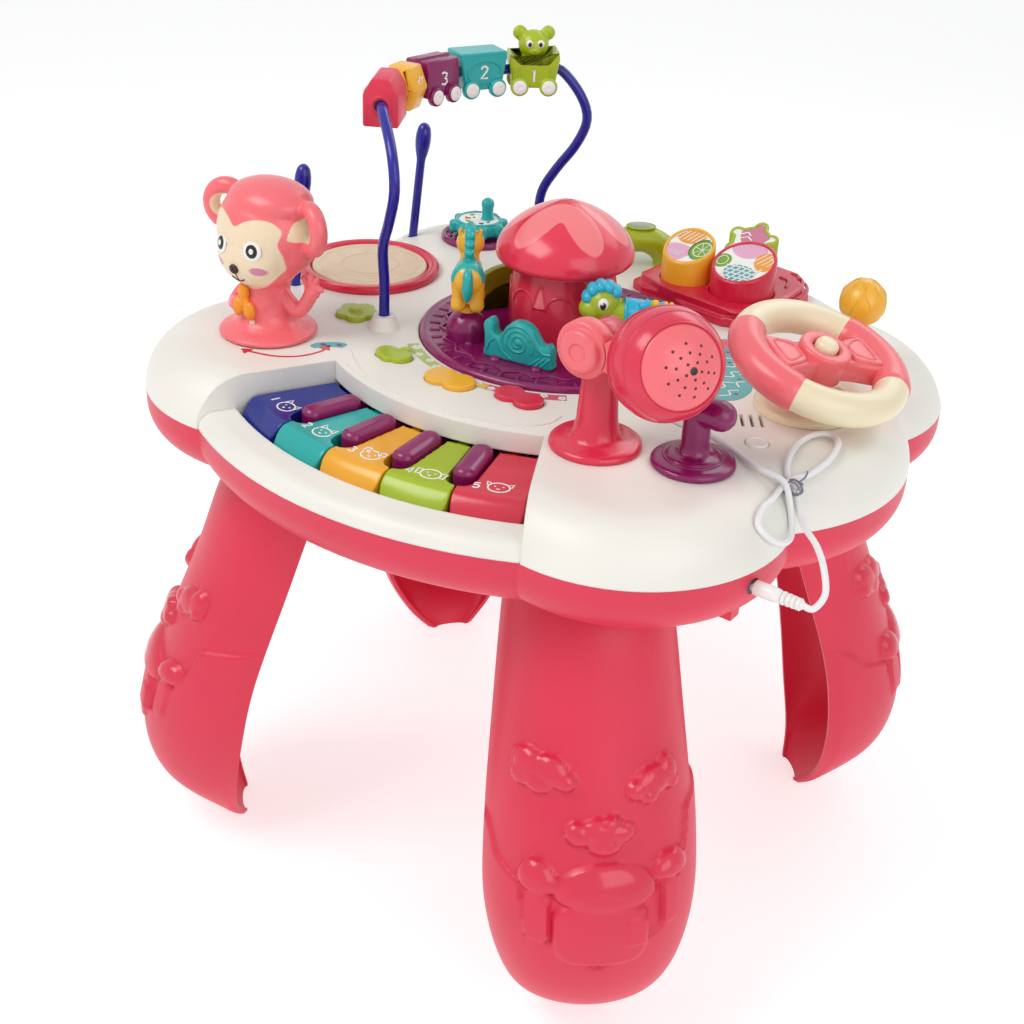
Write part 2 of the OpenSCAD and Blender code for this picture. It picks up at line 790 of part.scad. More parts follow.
module carousel_plate() {
  color(plum) at(car_c, top) difference() {
    union() {
      translate([0, 0, -pocket + gap]) pad(plate_r, pocket + 3 - gap, 2.5);
      translate([0, 0, -pocket - wall - 8]) cylinder(r = hub_r, h = wall + 9, $fn = 48);
    }
    translate([0, 0, 2]) cylinder(r = plate_r - 6, h = 3, $fn = 128);
    translate([0, 0, -20]) cylinder(r = hub_r - 3, h = 16, $fn = 48);
  }
  // olive hill behind the pony
  color(lime) at(car_c, top + 2) {
    translate([-46, 8, 0]) rotate([90, 0, 62]) difference() {
      cylinder(r = 26, h = 5, center = true, $fn = 64);
      cylinder(r = 15, h = 7, center = true, $fn = 64);
      translate([-30, -60, -5]) cube([60, 60, 10]);
    }
  }
}

module mushroom_stem() {
  color(coral) at(car_c, top + 2) difference() {
    rotate_extrude($fn = 96) {
      intersection() {
        translate([-70, 16]) circle(r = 100.5, $fn = 256);
        square([40, 43]);
      }
    }
    translate([0, 0, 20]) cylinder(r = 20, h = 30, $fn = 64);
  }
}

module mushroom_cap() {
  color(coral) at(car_c, top + 45) difference() {
    rotate_extrude($fn = 96) intersection() {
      translate([-14, -19]) circle(r = norm([cap_r + 14, 19]), $fn = 192);
      square([60, cap_h]);
    }
    translate([0, 0, 2]) cylinder(r1 = cap_r - 6, r2 = 9, h = 24, $fn = 96);
    translate([0, 0, -1]) cylinder(r = 12, h = 4, $fn = 64);
  }
}

module pony() {
  color(plum) at([-34, -34], top + 2) pad(11, 14, 10.9);
  color(orange) at([-34, -34], top) rotate([0, 0, 125]) {
    translate([-7, 0, 37]) rotate([0, 90, 0]) cylinder(r = 8.5, h = 14, $fn = 48);
    for (s = [-1, 1], x = [-6, 6])
      translate([x, s * 4.6, 14.5]) cylinder(r = 3.2, h = 20, $fn = 32);
    translate([4, 0, 38]) rotate([0, 16, 0]) cylinder(r = 5, h = 14, $fn = 32);
    translate([10, 0, 53]) sphere(r = 7.5, $fn = 48);
    translate([10, 0, 52]) rotate([0, 104, 0]) cylinder(r1 = 6, r2 = 4.6, h = 14, $fn = 32);
    translate([-12, 0, 26]) rotate([0, 12, 0]) cylinder(r = 3, h = 16, $fn = 32);
    translate([-2, -2, 44]) rotate([0, 16, 0]) cube([5, 4, 19]);
  }
}

module snail() {
  color(teal) at([9, -42], top + 2) rotate([90, 0, 8]) {
    translate([0, 12, -4]) cylinder(r = 11.6, h = 8, $fn = 64);
    translate([-21, 0, -4]) cube([42, 8, 8]);
    translate([-21, 4, -4]) cube([7, 14, 8]);
    translate([-18.5, 20, -3]) cylinder(r = 3.2, h = 6, $fn = 32);
    translate([17, 9.5, -3]) cylinder(r = 3.2, h = 6, $fn = 32);
  }
}

module dinosaur() {
  color(lime) at([47, -14], top + 2) rotate([0, 0, 35]) {
    cylinder(r = 8, h = 5, $fn = 48);
    translate([0, 0, 4]) cylinder(r1 = 7.5, r2 = 5, h = 26, $fn = 48);
    translate([-4, 0, 36]) sphere(r = 9, $fn = 48);
    translate([-4, 0, 35]) rotate([0, -104, 0]) cylinder(r1 = 7.5, r2 = 5.5, h = 12, $fn = 32);
    translate([0, 0, 31]) rotate([0, 90, 0]) cylinder(r = 8, h = 21, $fn = 48);
    translate([20, 0, 31]) rotate([0, 82, 0]) cylinder(r1 = 7, r2 = 3.5, h = 17, $fn = 48);
    translate([15, 0, 0]) cylinder(r = 5, h = 25, $fn = 48);
    translate([-9, -2.5, 40]) cube([12, 5, 8]);
  }
}

// ---- dial, tunnel, platform and blocks ----

module dial_dish() {
  color(plum) at(gear_c, top) difference() {
    pad(24.5, 4, 3);
    translate([0, 0, 1.5]) cylinder(r = gear_r + 5, h = 4, $fn = 96);
    translate([0, 0, -1]) cylinder(r = 4 + run, h = 8, $fn = 48);
  }
}

module gear_dial() {
  color(teal) at(gear_c, top) {
    translate([0, 0, -12]) cylinder(r = 4, h = 18, $fn = 48);
    translate([0, 0, 1.8]) cylinder(r = 8, h = 4, $fn = 48);
    translate([0, 0, 5]) cylinder(r = gear_r, h = 8, $fn = 64);
    for (k = [0 : 7])
      rotate([0, 0, 45 * k]) translate([gear_r, 0, 5.4]) cylinder(r = 3.4, h = 7.2, $fn = 32);
    translate([4, 4, 12]) pad(4.2, 15.4, 4);
  }
}

module arch_tunnel() {
  color(lime) at(arch_c, top) rotate([0, 0, 35]) {
    difference() {
      rotate([90, 0, 0]) rotate_extrude($fn = 96)
        translate([19, 0]) circle(r = 9.5, $fn = 48);
      translate([-40, -40, -80]) cube([80, 80, 80]);
    }
    translate([0, 0, 27]) cylinder(r = 6.5, h = 2.5, $fn = 48);
  }
}

platform_rim = [[-8, 98], [20, 86], [66, 80], [80, 86], [88, 112], [88, 150], [70, 172], [20, 175],
  [10, 150], [-6, 130]];
blocks = [[21.5, 114.5], [58.5, 116.5], [39, 161]];

module block_platform() {
  color(coral) difference() {
    union() {
      translate([0, 0, top]) linear_extrude(5)
        offset(r = 6, $fn = 32) offset(delta = -6) polygon(platform_rim);
      translate([0, 0, top]) linear_extrude(10)
        offset(r = 5, $fn = 32) offset(delta = -9) polygon(platform_rim);
    }
    at(car_c, top - 1) cylinder(r = plate_r + 4, h = 20, $fn = 128);
    at(blocks[0], top + 7) linear_extrude(5) egg_2d(gap);
    at(blocks[1], top + 7) cylinder(r = 19.5 + gap, h = 5, $fn = 96);
    at(blocks[2], top + 7) linear_extrude(5) star_2d(gap);
  }
}

module egg_2d(g) {
  circle(r = 16 + g, $fn = 64);
  translate([-3, 4]) circle(r = 13.5 + g, $fn = 64);
}

module star_2d(g) {
  circle(r = 10 + g, $fn = 48);
  for (k = [0 : 4])
    rotate(90 + 72 * k) translate([9.5, 0]) circle(r = 4.5 + g, $fn = 32);
}

// Cuts a block's top so that it slopes to the front
module sloped(h, r) {
  difference() {
    children();
    translate([0, 0, h]) rotate([20, 0, 0]) translate([-40, -60, 0]) cube([80, 120, 40]);
  }
}

module egg_block() {
  color(gold) at(blocks[0], top + 7) sloped(22.5)
    linear_extrude(34) egg_2d(0);
}

module round_block() {
  color(coral) at(blocks[1], top + 7) sloped(21.5)
    cylinder(r = 19.5, h = 34, $fn = 96);
}

module star_block() {
  color(lime) at(blocks[2], top + 7) sloped(19.5)
    linear_extrude(30) star_2d(0);
}

// ---- steering wheel and levers ----

module wheel_frame() {
  translate([wheel_c[0], wheel_c[1], top + wheel_h]) rotate([0, wheel_tilt, 0]) children();
}

module wheel_column() {
  color(cream) difference() {
    union() {
      at(column_c, top) pad(27.8, 5, 4);
      intersection() {
        wheel_frame() translate([0, 0, -50]) cylinder(r = 11, h = 42.7, $fn = 64);
        at(column_c, top) cylinder(r = 40, h = 60);
      }
      wheel_frame() translate([0, 0, -8]) cylinder(r = 4, h = 10, $fn = 48);
    }
  }
}

module steering_wheel() {
  color(salmon) wheel_frame() difference() {
    union() {
      rotate_extrude($fn = 128) translate([wheel_r, 0]) circle(r = rim_r, $fn = 64);
      translate([0, 0, -7]) cylinder(r = 14, h = 17, $fn = 64);
      rotate([0, 0, 60]) rotate([0, 90, 0])
        cylinder(r = 6.5, h = 2 * wheel_r, center = true, $fn = 48);
    }
    translate([0, 0, -8]) cylinder(r = 4 + run, h = 10.5, $fn = 48);
    translate([0, 0, 4]) cylinder(r = 6.5 + gap, h = 10, $fn = 48);
  }
}

module horn_button() {
  color(cream) wheel_frame() translate([0, 0, 4 + press + gap]) pad(6.5, 8, 3);
}

module shift_lever() {
  color(gold) at(shift_c, top) {
    translate([0, 0, 38]) sphere(r = knob_r, $fn = 64);
    translate([0, 0, -12]) cylinder(r = 3.5, h = 40, $fn = 48);
    translate([0, 0, -12]) rotate([90, 0, 0]) cylinder(r = 3, h = 18, center = true, $fn = 32);
    translate([0, 0, 24]) cylinder(r1 = 4, r2 = 8, h = 6, $fn = 48);
  }
}

mic_h = 57;
tap_h = 29;

module mic_post() {
  color(coral) at(mic_c, top) difference() {
    union() {
      translate([0, 0, -2 * wall - 8]) cylinder(r = 7, h = 2 * wall + 10, $fn = 48);
      translate([0, 0, gap]) pad(23.6, 4, 3);
      cylinder(r1 = 11.2, r2 = 8, h = mic_h, $fn = 64);
      translate([0, 0, mic_h]) rotate([90, 0, 0])
        cylinder(r = 9.5, h = 18, center = true, $fn = 48);
    }
    translate([0, 0, mic_h]) rotate([90, 0, 0])
      cylinder(r = 4 + run, h = 40, center = true, $fn = 48);
  }
}

// Bulb centre from the hub, its face plane and where the face looks
bulb_at = [40.2, -8.4, 1.7];
face_at = 17.2;
face_el = 18;
face_az = -36;

module mic_head() {
  color(coral) translate([mic_c[0], mic_c[1], top + mic_h]) {
    rotate([90, 0, 0]) {
      translate([0, 0, -9]) cylinder(r = 4, h = 20, $fn = 48);
      translate([0, 0, 9 + gap]) cylinder(r = 14.5, h = 10, $fn = 64);
      translate([0, 0, 19]) pad(11, 4, 3.5);
    }
    translate([0, -19, -8]) cube([26, 9.4, 16]);
    difference() {
      translate(bulb_at) sphere(r = bulb_r, $fn = 96);
      translate(bulb_at) rotate([0, 90 - face_el, face_az]) translate([0, 0, face_at])
        cylinder(r = 40, h = 30, $fn = 64);
    }
    translate(bulb_at) rotate([0, 90 - face_el, face_az]) translate([0, 0, face_at - 2])
      pad(bulb_r - 7.2, 9, 24);
  }
}

module tap_lever() {
  color(plum) at(tap_c, top) {
    translate([0, 0, -2 * wall - 8]) cylinder(r = 6, h = 2 * wall + 10, $fn = 48);
    translate([0, 0, gap]) pad(21.3, 4, 3);
    translate([0, 0, 4]) cylinder(r1 = 14, r2 = 12, h = 2.4, $fn = 64);
    cylinder(r = 7, h = tap_h, $fn = 48);
    rod([0, 0, tap_h], [12.5, 0, tap_h + 1], 7, 7.7);
  }
}

// ---- charging lead ----

// Route: plug, over the edge, right loop, left loop, then along the surface
route = [[222, -108.5, 288], [227, -108.5, 288.5], [230, -105, 296], [224.5, -98, 304.5],
  [215.5, -88, 308], [205, -77.5, 308], [197.5, -69, 308], [192, -63.5, 312], [187.5, -60, 318],
  [181, -56, 323], [177, -46, 326.5], [174, -30, 326.5], [176, -16, 326.5], [183, -11.5, 326.5],
  [190, -19, 326.5], [192.5, -34, 324.5], [190, -50, 322], [186.5, -59, 322.5],
  [184.5, -68, 320], [186.5, -80, 320.5], [187.5, -93, 320.5], [190.5, -101.5, 316.5],
  [196, -99.5, 310.5], [199, -90, 304.5], [198, -79, 303], [193, -71, 309], [188, -68, 320],
  [184, -67.5, 324], [178, -68, 325.5], [170, -68, 326.5], [154, -59.5, 326.2], [138, -52, 326.2],
  [128, -47.5, 326.4], [123, -46, 327.5]];

module charge_cable() {
  pts = curve([for (q = route) [q[0], q[1], q[2] + top - 324]], 2);
  color(shell) tube(pts, cable_d / 2, 8, [for (q = pts) [0, 0, 1]]);
}

module dc_plug() {
  color(shell) translate([plug_x, jack_y, jack_z]) rotate([0, 90, 0]) {
    translate([0, 0, -10]) cylinder(r = pin_r, h = 11, $fn = 32);
    cylinder(r = 3.8, h = 14, $fn = 48);
    translate([0, 0, 14]) cylinder(r = 2.6, h = plug_end - plug_x - 14, $fn = 32);
    for (k = [0 : 3])
      translate([0, 0, 14.6 + k * 2.6]) cylinder(r = 3.4, h = 1.5, $fn = 32);
  }
}

module usb_plug() {
  color(shell) translate([123, -46, top + 3.5]) rotate([0, 0, 168]) {
    cube_x = 21;
    translate([0, -6, -3.2]) cube([cube_x, 12, 7.2]);
    translate([cube_x, -6, -2]) difference() {
      cube([16, 12, 4.6]);
      translate([2, 0.6, 2.2]) cube([20, 10.8, 1.8]);
    }
  }
}

tray();
top_cover();
leg_front();
leg_left();
leg_right();
leg_rear();
service_door();
case_screws();
main_board();
speaker();
charge_jack();
key_mat();
bead_wire();
drum_ring();
arch_tunnel();
block_platform();
wheel_column();
dial_dish();
key_navy();
key_teal();
key_yellow();
key_lime();
key_red();
sharp_1();
sharp_2();
sharp_3();
sharp_4();
monkey();
drum_skin();
mallet_near();
mallet_far();
bead_house();
bead_gem();
car_three();
car_two();
car_one();
carousel_plate();
mushroom_stem();
mushroom_cap();
pony();
snail();
dinosaur();
gear_dial();
egg_block();
round_block();
star_block();
steering_wheel();
horn_button();
shift_lever();
mic_post();
mic_head();
tap_lever();
apple_button();
yellow_button();
cherry_button();
flower_button();
power_button();
charge_cable();
dc_plug();
usb_plug();
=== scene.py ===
from math import atan2, cos, degrees, hypot, pi, radians, sin, sqrt
import bmesh
import bpy
import numpy as np
from mathutils import Matrix, Vector


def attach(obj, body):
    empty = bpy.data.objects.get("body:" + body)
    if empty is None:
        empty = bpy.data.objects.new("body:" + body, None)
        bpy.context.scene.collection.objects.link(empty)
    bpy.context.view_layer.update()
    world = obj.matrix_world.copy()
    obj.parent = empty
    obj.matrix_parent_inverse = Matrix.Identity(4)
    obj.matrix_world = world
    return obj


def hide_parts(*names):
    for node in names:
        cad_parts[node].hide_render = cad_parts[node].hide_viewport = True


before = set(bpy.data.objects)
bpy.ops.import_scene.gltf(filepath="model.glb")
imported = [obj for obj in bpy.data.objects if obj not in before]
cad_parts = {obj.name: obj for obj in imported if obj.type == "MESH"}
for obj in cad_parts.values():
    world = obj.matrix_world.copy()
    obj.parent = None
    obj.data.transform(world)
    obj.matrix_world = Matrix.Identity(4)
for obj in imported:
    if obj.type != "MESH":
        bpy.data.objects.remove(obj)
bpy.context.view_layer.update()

# ---- sizes in millimetres, the same as in the construction ----
MM = 0.001
TOP = 324.0
SEAM = 296.0
BASE = 266.0
KEY_C = (0.0, 26.5)
CAR_C = (1.0, 8.5)
DRUM_C = (-146.0, 12.0)
MONKEY_C = (-125.6, -100.1)
GEAR_C = (-131.0, 104.0)
ARCH_C = (-27.0, 137.0)
COLUMN_C = (155.0, 14.5)
WHEEL_C = (159.4, 13.4)
WHEEL_TILT = 17.0
WHEEL_H = 28.0
SHIFT_C = (150.0, 82.5)
MIC_C = (94.3, -95.6)
MIC_H = 57.0
TAP_C = (142.4, -81.5)
WIRE_C = (-22.0, 22.8)
WIRE_R = 94.0
WIRE_TOP = 121.0
BLOCKS = ((21.5, 114.5), (58.5, 116.5), (39.0, 161.0))

# ---- camera ----
EYE = (459.86, -689.69, 677.53)
LOOK = (-0.497453, 0.713915, -0.492815)
RIGHT = (0.805844, 0.590624, 0.042176)
UP = (-0.321178, 0.376151, 0.869112)
cam_data = bpy.data.cameras.new("camera")
cam_data.sensor_width = 36.0
cam_data.lens = 55.03
cam_data.clip_start = 0.05
cam_data.clip_end = 20.0
camera = bpy.data.objects.new("camera", cam_data)
bpy.context.scene.collection.objects.link(camera)
camera.matrix_world = Matrix([
    (RIGHT[i], UP[i], -LOOK[i], EYE[i] * MM) for i in range(3)] + [(0, 0, 0, 1)])
bpy.context.scene.camera = camera


# ---- materials ----

def linear(code):
    """An sRGB hex value as linear red, green, blue and alpha."""
    parts = [int(code[i:i + 2], 16) / 255 for i in (1, 3, 5)]
    return [c / 12.92 if c <= 0.04045 else ((c + 0.055) / 1.055) ** 2.4 for c in parts] + [1.0]


def add(tree, kind, sets=None, values=None, links=None):
    """Adds one node with its settings, socket values and incoming links."""
    made = tree.nodes.new(kind)
    for key, value in (sets or {}).items():
        setattr(made, key, value)
    for key, value in (values or {}).items():
        made.inputs[key].default_value = value
    for key, source in (links or {}).items():
        tree.links.new(source, made.inputs[key])
    return made


def shade(code, factor):
    """A darker or lighter hex of the same hue."""
    parts = [int(code[i:i + 2], 16) for i in (1, 3, 5)]
    return "#%02X%02X%02X" % tuple(min(255, round(p * factor)) for p in parts)


def pigment(code):
    """The colour under the gloss: the clear surface adds a little white of its own."""
    return (*[max(c - 0.032, 0.35 * c) for c in linear(code)[:3]], 1.0)


def moulded(name, colour, rough=0.3, grain=0.5, relief=0.02, soft=0.0, round_mm=0.5, paint=(),
            polish=None, ior=1.5):
    """Injection-moulded plastic. grain is the mould texture's size and relief its depth in mm;
    paint lists (attribute, hex, blur in mm): distances stored on the vertices, painted where
    they are negative; polish is (attribute, roughness) for glossier raised shapes."""
    mat = bpy.data.materials.new(name)
    mat.use_nodes = True
    tree = mat.node_tree
    tree.nodes.clear()
    place = add(tree, "ShaderNodeTexCoord").outputs["Object"]
    # the resin flows unevenly, so tone drifts a little over about 45 mm
    flow = add(tree, "ShaderNodeTexNoise", values={"Scale": 1 / (45 * MM), "Detail": 2.0,
                                                   "Roughness": 0.4}, links={"Vector": place})
    tone = add(tree, "ShaderNodeMix", {"data_type": "RGBA"},
               {6: pigment(shade(colour, 0.965)), 7: pigment(shade(colour, 1.02))},
               {0: flow.outputs["Fac"]})
    out_colour = tone.outputs[2]
    for attribute, code, blur in paint:
        mask = add(tree, "ShaderNodeAttribute", {"attribute_name": attribute})
        edge = add(tree, "ShaderNodeMapRange", values={"From Min": blur, "From Max": -blur},
                   links={"Value": mask.outputs["Fac"]})
        coat = add(tree, "ShaderNodeMix", {"data_type": "RGBA"}, {7: pigment(code)},
                   {0: edge.outputs[0], 6: out_colour})
        out_colour = coat.outputs[2]
    # handling marks and mould wear change the gloss in patches of about 9 mm
    wear = add(tree, "ShaderNodeTexNoise", values={"Scale": 1 / (9 * MM), "Detail": 3.0},
               links={"Vector": place})
    gloss = add(tree, "ShaderNodeMapRange", values={"To Min": rough - 0.03, "To Max": rough + 0.04},
                links={"Value": wear.outputs["Fac"]})
    out_rough = gloss.outputs[0]
    if polish:
        mask = add(tree, "ShaderNodeAttribute", {"attribute_name": polish[0]})
        smooth = add(tree, "ShaderNodeMix", values={3: polish[1]},
                     links={0: mask.outputs["Fac"], 2: out_rough})
        out_rough = smooth.outputs[0]
    bevel = add(tree, "ShaderNodeBevel", {"samples": 4}, {"Radius": round_mm * MM})
    fine = add(tree, "ShaderNodeTexNoise", values={"Scale": 1 / (grain * MM), "Detail": 2.0},
               links={"Vector": place})
    bump = add(tree, "ShaderNodeBump", values={"Strength": 0.35, "Distance": relief * MM},
               links={"Height": fine.outputs["Fac"], "Normal": bevel.outputs["Normal"]})
    skin = add(tree, "ShaderNodeBsdfPrincipled",
               values={"IOR": ior, "Subsurface Weight": soft, "Subsurface Scale": 2 * MM,
                       "Subsurface Radius": (1.0, 0.6, 0.5)},
               links={"Base Color": out_colour, "Roughness": out_rough,
                      "Normal": bump.outputs["Normal"]})
    add(tree, "ShaderNodeOutputMaterial", links={"Surface": skin.outputs[0]})
    return mat


CORAL = "#E2455B"
SALMON = "#F87A80"
CRIMSON = "#DC3A54"
PLUM = "#8F2268"
TEAL = "#28B4B3"
LIME = "#AFC22C"
GOLD = "#F8BC48"
CREAM = "#F5E7C6"
WHITE = "#F3F0E8"

# ABS moulded in a spark-eroded mould: satin, with a grit of about half a millimetre
coral_satin = moulded("coral_satin_abs", CORAL, 0.42, 0.6, 0.02, polish=("emboss", 0.16))
tray_satin = moulded("tray_satin_abs", CORAL, 0.40, 0.6, 0.02)
white_satin = moulded("white_satin_abs", WHITE, 0.42, 0.5, 0.02, round_mm=1.2)
# ABS from polished moulds: glossy, close to flawless
coral_gloss = moulded("coral_gloss_abs", CORAL, 0.2, 1.5, 0.01)
crimson_gloss = moulded("crimson_gloss_abs", CRIMSON, 0.2, 1.5, 0.01, round_mm=0.8)
salmon_gloss = moulded("salmon_gloss_abs", SALMON, 0.26, 1.5, 0.01)
plum_gloss = moulded("plum_gloss_abs", PLUM, 0.2, 1.5, 0.01)
teal_gloss = moulded("teal_gloss_abs", TEAL, 0.24, 1.5, 0.01)
lime_gloss = moulded("lime_gloss_abs", LIME, 0.26, 1.5, 0.01)
gold_gloss = moulded("gold_gloss_abs", GOLD, 0.24, 1.5, 0.01)
cream_gloss = moulded("cream_gloss_abs", CREAM, 0.3, 1.5, 0.01)
olive_gloss = moulded("olive_gloss_abs", "#8C8A1E", 0.3, 1.5, 0.01)
sky_gloss = moulded("sky_gloss_abs", "#38B6D6", 0.25, 1.5, 0.01)
wire_paint = moulded("blue_coated_steel", "#2B2A98", 0.22, 2.0, 0.01)
white_gloss = moulded("white_gloss_abs", "#F6F4F0", 0.25, 1.5, 0.01)
print_white = moulded("pad_print_white", "#FAFAF6", 0.45, 0.8, 0.01, round_mm=0.1)
# black print, also used as painted shade in the USB plug's opening
print_and_shade_black = moulded("pad_print_and_shade_black", "#17120F", 0.3, 0.8, 0.01, round_mm=0.1)
# painted shade: a dark colour for the inside of a bead's hole
painted_hole_shade = moulded("painted_shade_in_bead_hole", "#2A0A12", 0.6, 0.8, 0.01, round_mm=0.1)
lead_vinyl = moulded("white_soft_vinyl", "#F4F3F5", 0.35, 1.0, 0.01, round_mm=0.1)
tie_wire = moulded("grey_paper_wire_tie", "#8E8B92", 0.6, 0.4, 0.02, round_mm=0.1)
grey_window = moulded("grey_clear_lens", "#9FA98C", 0.15, 2.0, 0.005)
board_green = moulded("fibreglass_board", "#2E7D4F", 0.35, 0.3, 0.01, round_mm=0.1)
rubber_grey = moulded("conductive_rubber", "#77797C", 0.65, 0.4, 0.02)
steel_zinc = moulded("zinc_plated_steel", "#B9BCC0", 0.3, 0.3, 0.01)
for step in steel_zinc.node_tree.nodes:
    if step.type == "BSDF_PRINCIPLED":
        step.inputs["Metallic"].default_value = 1.0


# ---- geometry helpers: shapes are (points, faces) in millimetres ----

def arr(points):
    return np.asarray(points, float).reshape(-1, 3)


def merge(*shapes):
    points, faces, base = [], [], 0
    for p, f in shapes:
        points.append(arr(p))
        faces += [tuple(i + base for i in face) for face in f]
        base += len(p)
    return np.concatenate(points), faces


def turn(axis, angle):
    return np.array(Matrix.Rotation(radians(angle), 3, axis))


def move(shape, at=(0, 0, 0), rot=None, size=1.0):
    points = arr(shape[0]) * size
    if rot is not None:
        points = points @ rot.T
    return points + np.array(at, float), shape[1]


def frame_on(shape, origin, x_axis, y_axis):
    """Carries a shape into the frame with this origin and these x and y directions."""
    x_axis = np.array(x_axis, float) / np.linalg.norm(x_axis)
    z_axis = np.cross(x_axis, y_axis)
    z_axis /= np.linalg.norm(z_axis)
    basis = np.stack([x_axis, np.cross(z_axis, x_axis), z_axis], 1)
    return arr(shape[0]) @ basis.T + np.array(origin, float), shape[1]


def rings(layers, ends=True, around=True):
    """Skins a stack of rings with equal counts; ends closes the first and last ring."""
    m = len(layers[0])
    points = np.concatenate([arr(ring) for ring in layers])
    faces = []
    for j in range(len(layers) - 1):
        for k in range(m if around else m - 1):
            a, b = j * m + k, j * m + (k + 1) % m
            faces.append((a, b, b + m, a + m))
    if ends:
        faces.append(tuple(range(m - 1, -1, -1)))
        faces.append(tuple(range((len(layers) - 1) * m, len(layers) * m)))
    return points, faces


def lathe(profile, n=96, closed=False):
    """Revolves (radius, height) pairs about the z axis; closed is for a ring section."""
    profile = list(profile) + ([profile[0]] if closed else [])
    turns = [2 * pi * k / n for k in range(n)]
    points, faces, rows = [], [], []
    for r, z in profile[:-1] if closed else profile:
        if r < 1e-6:
            rows.append([len(points)] * n)
            points.append((0, 0, z))
        else:
            rows.append(list(range(len(points), len(points) + n)))
            points += [(r * cos(t), r * sin(t), z) for t in turns]
    if closed:
        rows.append(rows[0])
    for a, b in zip(rows, rows[1:]):
        for k in range(n):
            q = (a[k], a[(k + 1) % n], b[(k + 1) % n], b[k])
            face = tuple(dict.fromkeys(q))
            if len(face) > 2:
                faces.append(face)
    if not closed:
        for row, flip in ((rows[0], True), (rows[-1], False)):
            if len(set(row)) > 1:
                faces.append(tuple(row[::-1] if flip else row))
    return arr(points), faces


def arc(cx, cz, r, a0, a1, n=8):
    return [(cx + r * cos(radians(a0 + (a1 - a0) * k / n)),
             cz + r * sin(radians(a0 + (a1 - a0) * k / n))) for k in range(n + 1)]


def dome(r, h, edge, z=0.0, crown=0.0):
    """Profile of a disc with a rounded upper edge and a slightly crowned top."""
    s = edge if edge <= h else sqrt(edge * edge - (edge - h) ** 2)
    side = [(0, z), (r, z)] if edge >= h else [(0, z), (r, z), (r, z + h - edge)]
    start = 0 if edge <= h else degrees(atan2(edge - h, s))
    rim = arc(r - s, z + h - edge, edge, start, 90, 8)
    top = [(max((r - s) * (1 - k / 6), 0), z + h + crown * (1 - (1 - k / 6) ** 2))
           for k in range(1, 7)]
    return side + [q for q in rim if q != side[-1]] + (top if r - s > 0.01 else [])


def catmull(points, steps):
    p = np.asarray(points, float)
    out = []
    for i in range(len(p) - 1):
        a, b, c, d = p[max(i - 1, 0)], p[i], p[i + 1], p[min(i + 2, len(p) - 1)]
        for k in range(steps):
            t = k / steps
            out.append(0.5 * (2 * b + (c - a) * t + (2 * a - 5 * b + 4 * c - d) * t * t
                              + (3 * b - a - 3 * c + d) * t ** 3))
    return np.array(out + [p[-1]])


def tube(path, radius, n=16, flat=1.0, up=None):
    """Round or flattened tube with hemispherical ends along a path."""
    p = arr(path)
    r = np.full(len(p), float(radius)) if np.isscalar(radius) else np.asarray(radius, float)
    t = np.gradient(p, axis=0)
    t /= np.linalg.norm(t, axis=1)[:, None]
    side = np.cross(t[0], up if up is not None else (0, 0, 1) if abs(t[0][2]) < 0.9 else (1, 0, 0))
    side /= np.linalg.norm(side)
    layers = []
    steps = [-0.999, -0.92, -0.7, -0.38]
    def ring(c, side, other, rr):
        return [c + rr * (cos(2 * pi * k / n) * side + flat * sin(2 * pi * k / n) * other)
                for k in range(n)]
    for i in range(len(p)):
        side = side - t[i] * np.dot(side, t[i])
        side /= np.linalg.norm(side)
        other = np.cross(t[i], side)
        if i == 0:
            layers += [ring(p[0] + t[0] * r[0] * s, side, other, r[0] * sqrt(1 - s * s))
                       for s in steps]
        layers.append(ring(p[i], side, other, r[i]))
        if i == len(p) - 1:
            layers += [ring(p[i] - t[i] * r[i] * s, side, other, r[i] * sqrt(1 - s * s))
                       for s in reversed(steps)]
    return rings(layers)


def ball(at, radii, rot=None, nu=40, nv=24):
    radii = (radii,) * 3 if np.isscalar(radii) else radii
    profile = [(sin(pi * k / nv), -cos(pi * k / nv)) for k in range(nv + 1)]
    profile[0], profile[-1] = (0, -1), (0, 1)
    points, faces = lathe(profile, nu)
    return move((points * np.array(radii, float), faces), at, rot)


def offset(outline, d):
    """Moves a closed counter-clockwise outline inwards by d along its normals."""
    p = np.asarray(outline, float)
    t = np.roll(p, -1, 0) - np.roll(p, 1, 0)
    t /= np.linalg.norm(t, axis=1)[:, None]
    return p + d * np.stack([-t[:, 1], t[:, 0]], 1)


def plate(outline, steps):
    """Solid from one outline: steps are (inset, z) from the bottom to the top."""
    return rings([[(x, y, z) for x, y in offset(outline, d)] for d, z in steps])


def rounded(z0, z1, edge, n=4, low=0.0):
    """Steps of a plate with a rounded upper edge, and a smaller lower one if asked."""
    under = [(low * (1 - sin(pi * k / 6)), z0 + low * (1 - cos(pi * k / 6))) for k in range(4)]
    over = [(edge * (1 - cos(pi * k / 2 / n)), z1 - edge + edge * sin(pi * k / 2 / n))
            for k in range(n + 1)]
    return (under if low else [(0, z0)]) + over


def blend_outline(discs, n=96, around=(0.0, 0.0), ease=1.5):
    """Smooth outline round overlapping discs (x, y, r), seen from one inner point."""
    out = []
    for k in range(n):
        a = 2 * pi * k / n
        ux, uy = cos(a), sin(a)
        reach = []
        for x, y, r in discs:
            x, y = x - around[0], y - around[1]
            b = x * ux + y * uy
            c = b * b - (x * x + y * y - r * r)
            if c > 0:
                reach.append(b + sqrt(c))
        far = max(reach)
        soft = far + ease * np.log(sum(np.exp((q - far) / ease) for q in reach)) * 0.6
        out.append((around[0] + soft * ux, around[1] + soft * uy))
    return out


